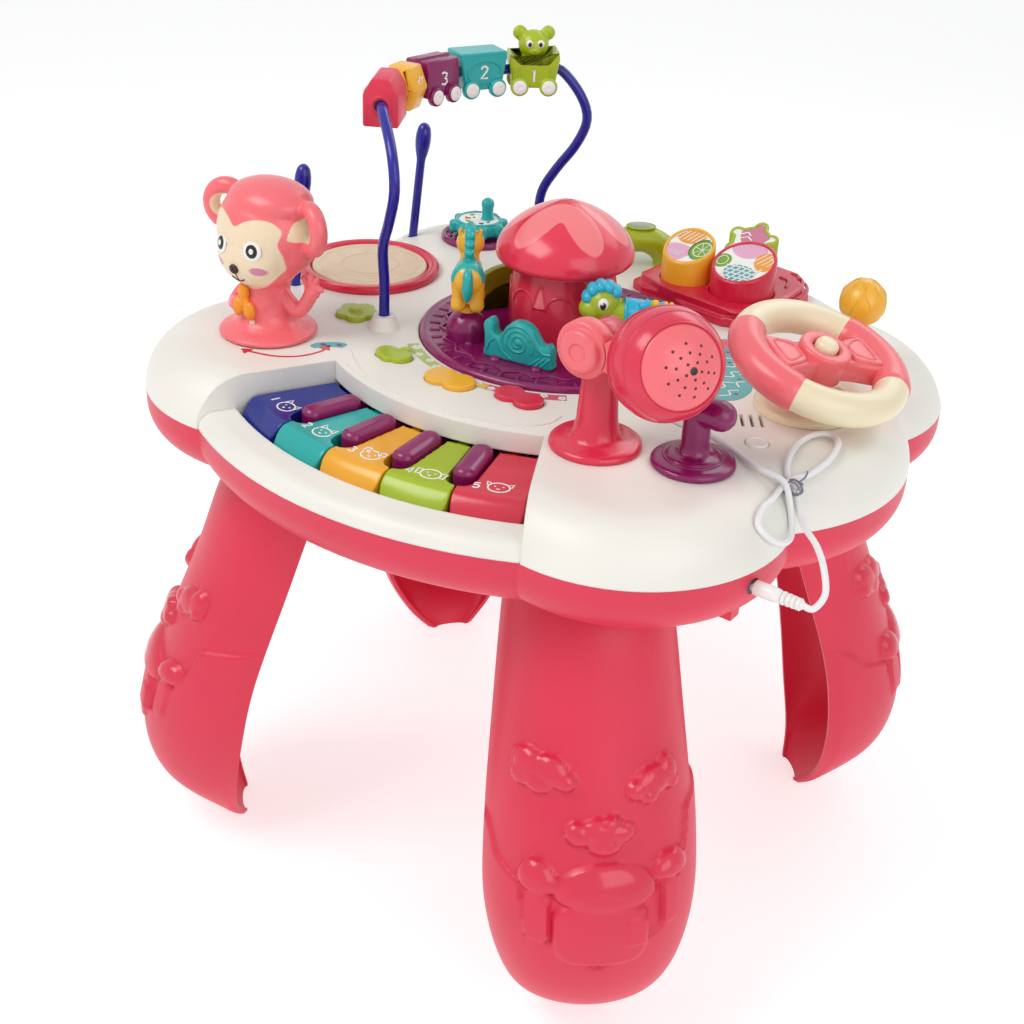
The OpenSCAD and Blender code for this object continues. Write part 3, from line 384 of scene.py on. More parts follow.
def fuse(shape, voxel, rounds, factor=0.5):
    """Joins overlapping closed shapes into one skin and softens its creases."""
    mesh = bpy.data.meshes.new("blank")
    mesh.from_pydata((arr(shape[0]) * 0.1).tolist(), [], shape[1])
    temp = bpy.data.objects.new("blank", mesh)
    bpy.context.scene.collection.objects.link(temp)
    remesh = temp.modifiers.new("skin", "REMESH")
    remesh.mode = "VOXEL"
    remesh.voxel_size = voxel * 0.1
    if rounds:
        ease = temp.modifiers.new("ease", "SMOOTH")
        ease.factor = factor
        ease.iterations = rounds
    deps = bpy.context.evaluated_depsgraph_get()
    done = temp.evaluated_get(deps).to_mesh()
    points = np.empty(len(done.vertices) * 3)
    done.vertices.foreach_get("co", points)
    faces = [tuple(face.vertices) for face in done.polygons]
    temp.evaluated_get(deps).to_mesh_clear()
    bpy.data.objects.remove(temp)
    bpy.data.meshes.remove(mesh)
    return points.reshape(-1, 3) * 10, faces


def solid_of(name):
    """The points and faces of a construction solid, with its doubled corners joined."""
    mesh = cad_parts[name].data
    work = bmesh.new()
    work.from_mesh(mesh)
    bmesh.ops.remove_doubles(work, verts=work.verts, dist=1e-6)
    points = arr([v.co[:] for v in work.verts]) / MM
    faces = [tuple(v.index for v in f.verts) for f in work.faces]
    work.free()
    return points, faces


def make(name, parts, body, gone=(), fields=None, angle=40):
    """One named piece: parts is a list of (shape, material), in world millimetres.
    fields are values for the first points, such as distances to painted edges."""
    points, faces = merge(*[shape for shape, _ in parts])
    mesh = bpy.data.meshes.new(name)
    mesh.from_pydata((points * MM).tolist(), [], faces)
    index = []
    mats = []
    for shape, mat in parts:
        if mat not in mats:
            mats.append(mat)
        index += [mats.index(mat)] * len(shape[1])
    for mat in mats:
        mesh.materials.append(mat)
    mesh.polygons.foreach_set("material_index", index)
    mesh.polygons.foreach_set("use_smooth", [True] * len(faces))
    work = bmesh.new()
    work.from_mesh(mesh)
    bmesh.ops.recalc_face_normals(work, faces=work.faces)
    work.to_mesh(mesh)
    work.free()
    if angle:
        mesh.set_sharp_from_angle(angle=radians(angle))
    for key, values in (fields or {}).items():
        layer = mesh.attributes.new(key, "FLOAT", "POINT")
        stored = np.full(len(points), 50.0)
        stored[:len(values)] = values
        layer.data.foreach_set("value", stored)
    obj = bpy.data.objects.new(name, mesh)
    bpy.context.scene.collection.objects.link(obj)
    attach(obj, body)
    if gone:
        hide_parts(*gone)
    return obj


# ---- charging lead: the first thing placed, because it is the loose one ----

ROUTE = ((222, -108.5, 288), (227, -108.5, 288.5), (230, -105, 296), (224.5, -98, 304.5),
         (215.5, -88, 308), (205, -77.5, 308), (197.5, -69, 308), (192, -63.5, 312),
         (187.5, -60, 318), (181, -56, 323), (177, -46, 326.5), (174, -30, 326.5),
         (176, -16, 326.5), (183, -11.5, 326.5), (190, -19, 326.5), (192.5, -34, 324.5),
         (190, -50, 322), (186.5, -59, 322.5), (184.5, -68, 320), (186.5, -80, 320.5),
         (187.5, -93, 320.5), (190.5, -101.5, 316.5), (196, -99.5, 310.5), (199, -90, 304.5),
         (198, -79, 303), (193, -71, 309), (188, -68, 320), (184, -67.5, 324),
         (178, -68, 325.5), (170, -68, 326.5), (154, -59.5, 326.2), (138, -52, 326.2),
         (128, -47.5, 326.4), (123, -46, 327.5))
LEAD_D = 3.2
lead_line = catmull(ROUTE, 8)
lead_data = bpy.data.curves.new("charging_lead", "CURVE")
lead_data.dimensions = "3D"
lead_data.bevel_depth = LEAD_D / 2 * MM
lead_data.bevel_resolution = 5
lead_data.use_fill_caps = True
spline = lead_data.splines.new("POLY")
spline.points.add(len(lead_line) - 1)
for point, place in zip(spline.points, lead_line):
    point.co = (*[c * MM for c in place], 1)
lead_data.materials.append(lead_vinyl)
lead = bpy.data.objects.new("charging_lead", lead_data)
bpy.context.scene.collection.objects.link(lead)
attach(lead, "table")
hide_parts("charge_cable")


def ring_about(at, axis, r, thick, n=40, wobble=0.0):
    """A wire ring round a point, square to an axis."""
    axis = np.array(axis, float) / np.linalg.norm(axis)
    side = np.cross(axis, (0, 0, 1))
    side /= np.linalg.norm(side)
    other = np.cross(axis, side)
    path = [np.array(at) + (r + wobble * sin(3 * t)) * (cos(t) * side + 0.8 * sin(t) * other)
            + axis * 0.4 * wobble * cos(2 * t)
            for t in [2 * pi * k / n for k in range(n + 1)]]
    return tube(path, thick, 8)


tie = make("lead_tie", [
    (merge(ring_about((188.2, -62.5, 319.5), (-0.2, 1, -0.1), 4.6, 0.55, wobble=0.5),
           ring_about((188.0, -64.2, 319.3), (-0.3, 1, 0.05), 4.4, 0.55, wobble=0.6),
           tube(catmull([(191.5, -63.5, 323.2), (194, -66, 325), (195.5, -69.5, 325.6),
                         (195, -73, 325)], 5), 0.5, 8),
           tube(catmull([(191, -62.5, 323.4), (192.6, -60, 325.6), (192, -56.8, 327)], 5), 0.5, 8)),
     tie_wire)], "table")

# plug into the jack: barrel, tapered grip and a ribbed sleeve along +x
PLUG_Y, PLUG_Z, PLUG_X, PLUG_END = -108.5, TOP - 36, 196.5, 222.0
along_x = turn("Y", 90)
grip = lathe([(0, 0), (3.4, 0), (3.8, 0.5)] + [(3.8, 9), (3.5, 12.5), (2.9, 14)]
             + [q for k in range(4) for q in
                ((2.5, 14.2 + 2.6 * k), (3.1, 14.5 + 2.6 * k), (3.4 - 0.12 * k, 14.8 + 2.6 * k),
                 (3.4 - 0.12 * k, 15.8 + 2.6 * k), (3.1, 16.2 + 2.6 * k), (2.5, 16.5 + 2.6 * k))]
             + [(2.3, PLUG_END - PLUG_X - 0.5), (1.7, PLUG_END - PLUG_X), (0, PLUG_END - PLUG_X)], 48)
pin = lathe([(0, -10), (2.4, -10), (2.75, -9.5), (2.75, 0.2), (0, 0.2)], 32)
dc_plug = make("charging_plug", [
    (move(grip, (PLUG_X, PLUG_Y, PLUG_Z), along_x), white_gloss),
    (move(pin, (PLUG_X, PLUG_Y, PLUG_Z), along_x), steel_zinc)],
    "table", ("dc_plug",))

# the other end: a flat moulded body and a bright folded-metal tongue
usb_turn = turn("Z", 168)
body_outline = [(21 * a, 6 * b) for a, b in ((0.02, -0.55), (0.12, -0.85), (0.3, -1), (1, -1), (1, 1),
                                            (0.3, 1), (0.12, 0.85), (0.02, 0.55))]
usb_body = plate(body_outline, [(0.8, -3.2), (0.2, -2.7), (0, -2), (0, 2.8), (0.3, 3.6), (0.9, 4)])
shell_out = [(21, -6), (36.8, -6), (36.8, 6), (21, 6)]
usb_metal = plate(shell_out, [(0.2, -2), (0, -1.8), (0, 2.4), (0.2, 2.6)])
# painted shade: a black block in the shell's open end stands for the dark inside the opening
usb_opening_shade = plate([(36, -5.4), (36.95, -5.4), (36.95, 5.4), (36, 5.4)], [(0, 0.2), (0, 2.0)])
usb_at = (123, -46, TOP + 3.5)
usb_plug = make("usb_end", [
    (move(usb_body, usb_at, usb_turn), white_gloss),
    (move(usb_metal, usb_at, usb_turn), steel_zinc),
    (move(usb_opening_shade, usb_at, usb_turn), print_and_shade_black)],
    "table", ("usb_plug",))


# ---- legs: curved shells with a raised toadstool village near the foot ----

LEG_ROWS = ((265, 172, 122, 39), (239, 189, 135, 44.5), (189, 207, 153, 50), (129, 231, 174, 55.5),
            (85, 242.5, 183.5, 55.5), (46, 236, 188, 46.5), (16, 202, 189, 30), (0, 190, 184, 14))
LEG_WALL = 3.0
leg_curve = catmull(LEG_ROWS, 12)[::-1]
# bounds of the foot's raised ground, as (angle round the leg, height)
GROUND = ((-90, 133), (-80, 133), (-74, 129), (-69, 122), (-60, 119.5), (-50, 117), (-46.5, 100),
          (-45, 90), (-38, 90), (-28, 89), (-16, 83), (-6, 76.5), (5, 81), (23, 92), (33, 96),
          (38, 108), (45, 122), (51, 133), (56, 148), (90, 150))
CLOUDS = (((-47, 176, 13, 9.5), (-33, 176.5, 12, 8.5), (-24, 173, 7, 5.5), (-52, 171, 8, 6),
           (-40, 170, 10, 6)),
          ((28, 170, 13, 8), (38, 172.5, 8, 8.5), (17, 168, 7, 5.5), (24, 164, 7, 4.5),
           (41, 167, 5, 5)),
          ((-4, 149.5, 13, 7.5), (-16, 148.5, 8, 6.5), (7, 149, 8, 5.5), (-2, 143.5, 10, 5.5),
           (1, 154, 6, 4)))
CAPS = ((-1, 117, 29, 17.5, 8), (-38.5, 121.5, 12.5, 12, 6.5), (37, 124, 13, 9.5, 4.5))
STEMS = ((-3.5, 96, 26, 17), (-38.5, 103, 8, 14), (36, 108, 6, 13))
DOOR = (15.5, 98, 6.8, 7.5)


def raised(u, z):
    """Height of the relief at an angle (degrees) and height, and how much of it is polished."""
    lift = np.zeros_like(u)
    shine = np.zeros_like(u)
    edge = np.interp(u, [g[0] for g in GROUND], [g[1] for g in GROUND])
    lift = np.maximum(lift, 2.0 * np.clip((edge - z) / 1.6 + 0.5, 0, 1))
    for cx, cz, rx, rz in STEMS:
        d = 1 - (np.abs((u - cx) / rx) ** 4 + np.abs((z - cz) / rz) ** 4)
        lift = np.maximum(lift, 3.6 * np.clip(d * 2.6, 0, 1) ** 0.5)
    for cx, cz, rx, up, down in CAPS:
        d = 1 - ((u - cx) / rx) ** 2 - ((z - cz) / np.where(z > cz, up, down)) ** 2
        crown = 6.4 * np.clip(d * 1.1, 0, 1) ** 0.5
        lift = np.maximum(lift, crown)
        shine = np.maximum(shine, np.clip(d * 5, 0, 1) * np.clip((z - cz + 2) / 3, 0, 1))
    for group in CLOUDS:
        d = np.max([1 - ((u - cx) / rx) ** 2 - ((z - cz) / rz) ** 2
                    for cx, cz, rx, rz in group], axis=0)
        lift = np.maximum(lift, 4.8 * np.clip(d * 1.15, 0, 1) ** 0.5)
        shine = np.maximum(shine, np.clip(d * 5, 0, 1))
    cx, cz, rx, rz = DOOR
    d = 1 - np.abs((u - cx) / rx) ** 5 - np.abs((z - cz) / rz) ** np.where(z > cz, 2.4, 5)
    lift = lift + 1.2 * np.clip(d * 4, 0, 1)
    # faint oval panel line above the village
    oval = np.abs(np.hypot(u / 62, (z - 178) / 66) - 1) * 60
    lift = lift + 0.35 * np.clip(1 - oval / 1.6, 0, 1) * (z > 178)
    return lift, shine


def leg(name, az, reach):
    zs = np.concatenate([np.linspace(0, 60, 34), np.linspace(61.3, 190, 108),
                         np.linspace(194, 260, 18)])
    rows = [np.interp(zs, leg_curve[:, 0], leg_curve[:, k]) for k in (1, 2, 3)]
    nu = 100
    limit = np.full(len(zs), 90.0)
    u = limit[:, None] * np.linspace(-1, 1, nu)[None, :]
    z = np.repeat(zs[:, None], nu, 1)
    lift, shine = raised(u, z)
    fade = np.clip((limit[:, None] - np.abs(u)) / 6, 0, 1)
    lift *= fade

    def skin(wall, extra):
        c = np.cos(np.radians(u)) ** 0.8
        x = rows[1][:, None] + (rows[0][:, None] - wall - rows[1][:, None]) * c
        x = x + reach * (1 - z / BASE)
        y = (rows[2][:, None] - wall) * np.sin(np.radians(u))
        p = np.stack([x, y, z], -1)
        gu = np.gradient(p, axis=1)
        gz = np.gradient(p, axis=0)
        normal = np.cross(gu, gz)
        normal /= np.linalg.norm(normal, axis=-1)[..., None] + 1e-9
        p = p + normal * extra[..., None]
        p[..., 2] = np.clip(p[..., 2], 0.0, None)
        return p

    outer, inner = skin(0.0, lift), skin(LEG_WALL, np.zeros_like(lift))
    n, m = outer.shape[:2]
    points = np.concatenate([outer.reshape(-1, 3), inner.reshape(-1, 3)])
    half = n * m
    faces = []
    for j in range(n - 1):
        for k in range(m - 1):
            a = j * m + k
            faces.append((a, a + 1, a + m + 1, a + m))
            faces.append((half + a, half + a + m, half + a + m + 1, half + a + 1))
        for k in (0, m - 1):
            a = j * m + k
            quad = (a, a + m, half + a + m, half + a)
            faces.append(quad if k == 0 else quad[::-1])
    for j in (0, n - 1):
        for k in range(m - 1):
            a = j * m + k
            quad = (a, half + a, half + a + 1, a + 1)
            faces.append(quad if j == 0 else quad[::-1])
    crown = [(0.5 + 124.3 + (169.5 - 124.3) * cos(radians(a)) ** 0.8, 37 * sin(radians(a)))
             for a in range(-90, 91, 6)]
    cap = plate(crown, [(0, BASE - 6.2), (0, BASE - 0.05)])
    rot = turn("Z", az)
    shape = merge((points, faces), cap)
    shine = np.concatenate([shine.ravel(), np.zeros(half + len(cap[0]))])
    return make("shell_of_" + name, [(move(shape, rot=rot), coral_satin)], "table", (name,),
                {"emboss": shine}, angle=50)


LEGS = (("leg_front", -45, 0), ("leg_left", -136, 0), ("leg_right", 44, 0), ("leg_rear", 143, 10))
for node_name, az, reach in LEGS:
    leg(node_name, az, reach)


# ---- bead wire and its beads ----

near_leg = [(-80, -52, -8), (-80, -52, 8), (-80, -52, 28), (-78.5, -55, 49), (-69, -61, 68),
            (-62, -65, 88), (-68, -60.5, 107)]
far_leg = [(-61, 109, 107), (-57, 112, 92), (-62, 109, 76), (-72, 104, 60), (-79, 99.5, 45),
           (-80, 98, 28), (-80, 98, 8), (-80, 98, -8)]
level = [(WIRE_C[0] + WIRE_R * cos(radians(a)), WIRE_C[1] + WIRE_R * sin(radians(a)), WIRE_TOP)
         for a in np.linspace(226, 122, 19)]
wire_path = catmull([(x, y, TOP + z) for x, y, z in near_leg + level + far_leg], 4)
make("bead_wire_loop", [(tube(wire_path, 3.0, 20), wire_paint)], "table", ("bead_wire",))

STROKES = {"1": [[(-0.9, 2.2), (0, 3), (0, -3)]],
           "2": [[(-1.8, 1.7), (-1.0, 2.8), (0.6, 3), (1.8, 1.9), (1.2, 0.4), (-1.9, -3), (2, -3)]],
           "3": [[(-1.7, 2.6), (0, 3), (1.7, 2.2), (1.2, 0.6), (0, 0.2), (1.6, -0.6), (1.8, -2),
                  (0.4, -3), (-1.8, -2.5)]],
           "4": [[(0.9, -3), (0.9, 3), (-2, -1.2), (2, -1.2)]],
           "5": [[(1.8, 3), (-1.4, 3), (-1.7, 0.5), (0.4, 0.9), (1.9, -0.6), (1.3, -2.5),
                  (-0.4, -3), (-1.9, -2.4)]]}


def ribbon(path, width, thick=0.3, z=0.0):
    """A flat printed line in the xy plane."""
    p = np.asarray(path, float)
    t = np.gradient(p, axis=0)
    t /= np.linalg.norm(t, axis=1)[:, None]
    side = np.stack([-t[:, 1], t[:, 0]], 1) * width / 2
    layers = [[(*(q - s), z), (*(q + s), z), (*(q + s), z + thick), (*(q - s), z + thick)]
              for q, s in zip(p, side)]
    return rings(layers)


def digit(code, size, width):
    return merge(*[ribbon(np.array(line) * size / 6, width, 0.35) for line in STROKES[code]])


def on_wire(angle, shape):
    out = turn("Z", angle)
    centre = (WIRE_C[0] + WIRE_R * cos(radians(angle)), WIRE_C[1] + WIRE_R * sin(radians(angle)),
              TOP + WIRE_TOP)
    return move(shape, centre, out)


def block_y(section, half, edge=1.0):
    """A bar along y with this (x, z) section and softened ends."""
    steps = [(edge, -half), (edge * 0.3, -half + edge * 0.3), (0, -half + edge),
             (0, half - edge), (edge * 0.3, half - edge * 0.3), (edge, half)]
    flat = plate([(x, z) for x, z in section], steps)
    points = arr(flat[0])
    return np.stack([points[:, 0], -points[:, 2], points[:, 1]], 1), flat[1]


def soften(outline, reach, n=3):
    """Rounds each corner of a polygon by that reach."""
    p = np.asarray(outline, float)
    out = []
    for i in range(len(p)):
        a, b, c = p[i - 1], p[i], p[(i + 1) % len(p)]
        u, v = (a - b) / np.linalg.norm(a - b), (c - b) / np.linalg.norm(c - b)
        s, e = b + u * reach, b + v * reach
        for k in range(n + 1):
            t = k / n
            out.append((1 - t) ** 2 * s + 2 * t * (1 - t) * b + t * t * e)
    return out


def at_side(shape, x, y, z):
    """Lays a flat print on the +x or -x side of a bead, upright."""
    s = 1 if x > 0 else -1
    return frame_on(shape, (x, y, z), (0, s, 0), (0, 0, 1))


def hub_rim(r, y):
    ring = lathe([(r - 1.2, -0.6), (r + 1.4, -0.6), (r + 1.2, 0.5), (r + 0.2, 0.9), (r - 1.2, 0.3)],
                 32, closed=True)
    return move(ring, (0, y, 0), turn("X", -90 if y > 0 else 90))


house = soften([(-10, -12), (10, -12), (10, 6), (5, 14.5), (-5, 14.5), (-10, 6)], 1.6)
frame_line = [(3.4 * cos(t), 3.4 * sin(t)) for t in np.linspace(0, 2 * pi, 24)]
make("bead_house_body", [
    (on_wire(209.9, merge(block_y(house, 14), hub_rim(4.4, 13.9), hub_rim(4.4, -13.9))),
     coral_satin),
    (on_wire(209.9, at_side(plate(soften([(-11, -9), (11, -9), (11, 8), (-11, 8)], 3), [(0, 0), (0, 0.4)]),
                            9.9, 0, -1)), print_white),
    (on_wire(209.9, at_side(merge(ribbon([(-9, -6), (-9, 5), (-2, 5)], 0.9, 0.6),
                                  ribbon(np.array(frame_line) + (3.5, -1), 0.8, 0.6),
                                  ribbon([(-5, -6.5), (8, -6.5)], 0.9, 0.6)), 9.9, 0, -1)),
     salmon_gloss),
    # the dark discs at the hub ends are painted shade inside the hole around the wire
    (on_wire(209.9, merge(*[move(lathe([(0, 0), (4.2, 0), (4.2, 0.3), (0, 0.3)], 24),
                                 (0, 14.05 * s, 0), turn("X", -90 * s)) for s in (-1, 1)])),
     painted_hole_shade)],
    "bead_house", ("bead_house",), angle=30)

gem = soften([(-11.5, 0), (-6.5, -12.5), (6.5, -12.5), (11.5, 0), (6.5, 12.5), (-6.5, 12.5)], 1.0)
star = [(3.2 * (1 if k % 2 else 0.5) * cos(pi * k / 5), 3.2 * (1 if k % 2 else 0.5) * sin(pi * k / 5))
        for k in range(11)]
make("bead_gem_body", [
    (on_wire(190, merge(block_y(gem, 9, 3.2), hub_rim(4.2, 8.6), hub_rim(4.2, -8.6))),
     gold_gloss),
    (on_wire(190, merge(at_side(ribbon(star, 0.7), -10.2, 0, 4.2),
                        at_side(ribbon(star, 0.7), 10.2, 0, 4.2))), print_white)],
    "bead_gem", ("bead_gem",), angle=30)


def wheels(half, gap_y):
    tyres, discs = [], []
    for s in (-1, 1):
        for y in (-gap_y, gap_y):
            face = turn("Y", 90 * s)
            tyres.append(move(lathe(dome(5.5, 3.2, 1.2), 32), (s * (half - 0.6), y, -8), face))
            discs.append(move(lathe([(0, 3.0), (4.1, 3.0), (4.1, 3.5), (3.6, 3.8), (1.4, 3.9),
                                     (1.2, 3.6), (0, 3.6)], 32), (s * (half - 0.6), y, -8), face))
    return merge(*tyres), merge(*discs)


def side_digit(code, size, x, z, y=0.0):
    return merge(at_side(digit(code, size, 1.15), x, y, z), at_side(digit(code, size, 1.15), -x, y, z))


tyre, disc = wheels(10, 7.2)
wagon = soften([(-10, -9), (10, -9), (10, 7), (8.6, 12), (-8.6, 12), (-10, 7)], 1.0)
make("wagon_three", [
    (on_wire(174, merge(block_y(wagon, 13), tyre,
                        move(plate(soften([(-1.6, -13), (1.6, -13), (1.6, 13), (-1.6, 13)], 0.7),
                                   rounded(11.6, 13.0, 0.5)), (0, 0, 0)))), plum_gloss),
    (on_wire(174, merge(disc, side_digit("3", 7, 10.0, 1.5))), print_white)],
    "car_three", ("car_three",), angle=30)

tyre, disc = wheels(10, 8.7)
tank_side = soften([(-12, -9), (12, -9), (15, 7), (15.3, 11), (-15.3, 11), (-15, 7)], 1.2)
tank = plate(tank_side, [(1, -10), (0, -9), (0, 9), (1, 10)])
tank = (np.stack([arr(tank[0])[:, 2], arr(tank[0])[:, 0], arr(tank[0])[:, 1]], 1), tank[1])
oval = [(11 * cos(t), 6.6 * sin(t)) for t in np.linspace(0, 2 * pi, 48)]
make("wagon_two", [
    (on_wire(154, merge(tank, tyre, at_side(ribbon(oval, 0.9, 0.7), 9.8, 0, 1.5),
                        at_side(ribbon(oval, 0.9, 0.7), -9.8, 0, 1.5),
                        plate(soften([(-9.5, -15.5), (9.5, -15.5), (9.5, 15.5), (-9.5, 15.5)], 1.5),
                              [(0.6, 10.6), (0, 11), (0, 12.2), (0.8, 12.8)]))), teal_gloss),
    (on_wire(154, merge(disc, side_digit("2", 7, 10.0, 1.5))), print_white)],
    "car_two", ("car_two",), angle=30)

tyre, disc = wheels(10, 8.7)
tub_side = soften([(-12.4, -9), (12.4, -9), (15.3, 7), (14.4, 11), (8, 5.5), (-8, 5.5), (-14.4, 13),
                   (-15.3, 8)], 1.2)
tub = plate(tub_side, [(1, -10), (0, -9), (0, 9), (1, 10)])
tub = (np.stack([arr(tub[0])[:, 2], arr(tub[0])[:, 0], arr(tub[0])[:, 1]], 1), tub[1])
slats = merge(*[at_side(ribbon([(y, -7), (y * 1.12, 3.5)], 0.9, 0.7), s * 9.8, 0, 0)
                for s in (-1, 1) for y in (-11.5, -8.5, 8.5, 11.5)])
bear = merge(ball((0, 0, 6), (7.0, 7.0, 8)), ball((0, 0, 15), (8.6, 9.2, 8.4)),
             ball((-1.6, 0, 12.2), (8.4, 5.0, 3.9)),
             *[ball((0, s * 8.4, 21.6), (2.4, 4.4, 4.4)) for s in (-1, 1)])
bear = fuse(bear, 0.7, 4)
eyes, pupils = [], []
for s in (-1, 1):
    for y in (-3.4, 3.4):
        eyes.append(ball((s * 7.6, y, 16.6), (1.4, 2.2, 2.4), nu=20, nv=12))
        pupils.append(ball((s * 8.6, y * 0.95, 16.4), (0.7, 1.2, 1.4), nu=16, nv=10))
make("wagon_one", [
    (on_wire(132.6, merge(tub, tyre, slats, bear,
                          move(ball((0, 0, 0), (1.1, 1.6, 1.2)), (-9.8, 0, 13.2)))), lime_gloss),
    (on_wire(132.6, merge(disc, side_digit("1", 7, 10.0, -1.5))), print_white),
    (on_wire(132.6, merge(*eyes)), white_gloss), (on_wire(132.6, merge(*pupils)), print_and_shade_black)],
    "car_one", ("car_one",), angle=30)


# ---- distances for painted areas ----

def polygon_distance(p, outline):
    """Signed distance of 2D points to a closed outline, negative inside."""
    p = np.asarray(p, float)
    v = np.asarray(outline, float)
    best = np.full(len(p), 1e9)
    inside = np.zeros(len(p), bool)
    for a, b in zip(v, np.roll(v, -1, 0)):
        ab = b - a
        t = np.clip(((p - a) @ ab) / (ab @ ab), 0, 1)
        best = np.minimum(best, np.linalg.norm(p - a - t[:, None] * ab, axis=1))
        crosses = (a[1] > p[:, 1]) != (b[1] > p[:, 1])
        with np.errstate(divide="ignore", invalid="ignore"):
            x = a[0] + (p[:, 1] - a[1]) * ab[0] / ab[1]
        inside ^= crosses & (p[:, 0] < x)
    return np.where(inside, -best, best)


def closed_curve(points, steps=6):
    p = [tuple(q) for q in points]
    ring = p[-1:] + p + p[:2]
    line = catmull([(x, y, 0) for x, y in ring], steps)
    return line[steps:-steps - 1, :2][:len(p) * steps]


def ellipse(p, cx, cy, rx, ry):
    """Rough signed distance of 2D points to an ellipse."""
    k = np.hypot((p[:, 0] - cx) / rx, (p[:, 1] - cy) / ry)
    return (k - 1) * min(rx, ry)


# ---- monkey: one fused skin with painted face, made round its head centre ----

skull = merge(
    ball((0, 4, 1), (30.0, 27, 28)), ball((0, -10.5, -9), (22, 13.5, 18)),
    ball((2, 4, 18), (26, 21, 12.5)), ball((0, -3, -16), (23, 19, 13)))
ears = merge(*[tube([(s * (31.5 + 9.4 * cos(t)), 4 - 3.5 * cos(t), 8.5 + 9.6 * sin(t) * 1.1)
                     for t in np.linspace(0, 2 * pi, 40)], 4.9, 16) for s in (-1, 1)])
trunk = lathe([(0, -57.2), (27.4, -57.2), (27.7, -56.4), (27.2, -55), (25, -53.8), (20, -52), (16.6, -49.5),
               (14.4, -46), (13.2, -40), (13, -32), (14, -24), (0, -20)], 96)
torso = merge(move(trunk, (0, 1, 0)), ball((0, -4.5, -40), (10.5, 9.5, 12)),
              tube(catmull([(9, 2, -31), (15, 2, -36), (20.5, 3, -40.5), (25.5, 4, -37), (29, 5.5, -30)],
                           5),
                   [4.6] * 8 + [4.4] * 6 + [4.1] * 7, 14),
              ball((30, 6, -27.5), (5.2, 3.6, 5.2)),
              *[tube([(30 + 3 * x, 6, -26), (30 + 7.6 * x, 5.4, -27.5 + 8.2 * z)], [2.2, 1.9], 10)
                for x, z in ((-0.75, 0.75), (-0.15, 1.05), (0.5, 0.9), (0.95, 0.3))],
              tube(catmull([(-10, 0, -31), (-15, -4, -37), (-14, -10, -41), (-8, -14, -39)], 5), 4.3, 14))
monkey = fuse(merge(skull, ears, torso), 0.75, 5)
mp = monkey[0]
front = mp[:, [0, 2]]
face_half = [(0, 9.3), (6, 12.6), (13, 14.4), (19.5, 13.2), (24, 8.5), (23.2, 1.8), (24.5, -5), (23, -13),
             (18, -20.5), (10.5, -26), (0, -28.5)]
face_line = closed_curve([(-x, y) for x, y in face_half[::-1][1:-1]][::1] + face_half, 6)
back = np.where((mp[:, 1] < -1) & (mp[:, 2] > -30.5), 0, 50.0)
fields = {
    "face": polygon_distance(front, face_line) + back,
    "cheek": np.minimum(ellipse(front, 14.5, -13.5, 4.4, 2.4),
                        ellipse(front, -13.5, -13.5, 4.4, 2.4)) + back,
    "ears": np.minimum(np.hypot(mp[:, 0] - 31.5, mp[:, 2] - 8.5) - 6.8,
                       np.hypot(mp[:, 0] + 31.5, mp[:, 2] - 8.5) - 6.8) + np.where(
        (np.abs(mp[:, 0]) > 26) & (mp[:, 1] < 6), 0, 50)}
monkey_skin = moulded("salmon_abs_painted_face", SALMON, 0.27, 1.5, 0.01,
                      paint=(("face", "#F3DDBE", 0.35), ("cheek", "#D58CA8", 0.35),
                             ("ears", "#F3DDBE", 0.3)))


def on_face(a, c, depth=0.0):
    """A point on the front of the monkey's head at (sideways a, height c)."""
    near = np.hypot(mp[:, 0] - a, mp[:, 2] - c) + np.where(mp[:, 1] < 4, 0, 100)
    q = mp[np.argsort(near)[:6]].mean(0)
    return np.array((a, q[1] - depth, c))


def face_disc(a, c, r, thick, lift, squash=1.0):
    """A low dome laid on the face, facing outwards."""
    p = on_face(a, c)
    e = 1.5
    gx = on_face(a + e, c) - on_face(a - e, c)
    gz = on_face(a, c + e) - on_face(a, c - e)
    shape = lathe(dome(r, thick, min(thick, 0.7), crown=lift), 40)
    shape = (shape[0] * np.array([1, squash, 1]), shape[1])
    return frame_on(shape, p, gx, gz)


MONKEY_TURN = turn("Z", -1)


def monkey_at(shape):
    return move(shape, (MONKEY_C[0], MONKEY_C[1], TOP + 58), MONKEY_TURN)


whites, blacks, glints = [], [], []
for a, c in ((11.8, -2.2), (-10.6, -2.6)):
    whites.append(face_disc(a, c, 5.4, 0.5, 0.5, 1.06))
    blacks.append(move(face_disc(a, c, 3.4, 1.1, 0.4, 1.12), (0, -0.1, 0)))
    glints.append(move(face_disc(a + 0.1, c + 0.1, 1.35, 1.75, 0.2, 1.2), (0, -0.2, 0)))
nose = face_disc(0.4, -14.2, 2.9, 1.5, 1.3, 0.95)
mouth = tube([on_face(a, c, 0.1) for a, c in ((-3.6, -20.2), (-1.8, -21.2), (0.3, -21.9), (2.6, -21.5),
                                              (4.8, -20.2))],
             0.45, 8)
mouth = merge(mouth, tube([on_face(a, c, 0.1) for a, c in ((0.3, -17), (0.3, -19.4), (0.3, -21.8))], 0.35,
                          8))
scarf = fuse(merge(ball((-2.5, -14.6, -31), (3.4, 2.8, 5)), ball((-6, -15.6, -40), (4.0, 2.8, 5.6)),
                   ball((2.5, -15.6, -40.5), (3.9, 2.8, 5.4)), ball((-2, -14.5, -36), (3, 2.6, 4))), 0.5, 3)
button = move(ball((0, 0, 0), (1.9, 1.3, 1.9)), (2.5, -13.7, -48))
spindle = lathe([(0, -71), (6, -71), (6, -57), (0, -57)], 40)
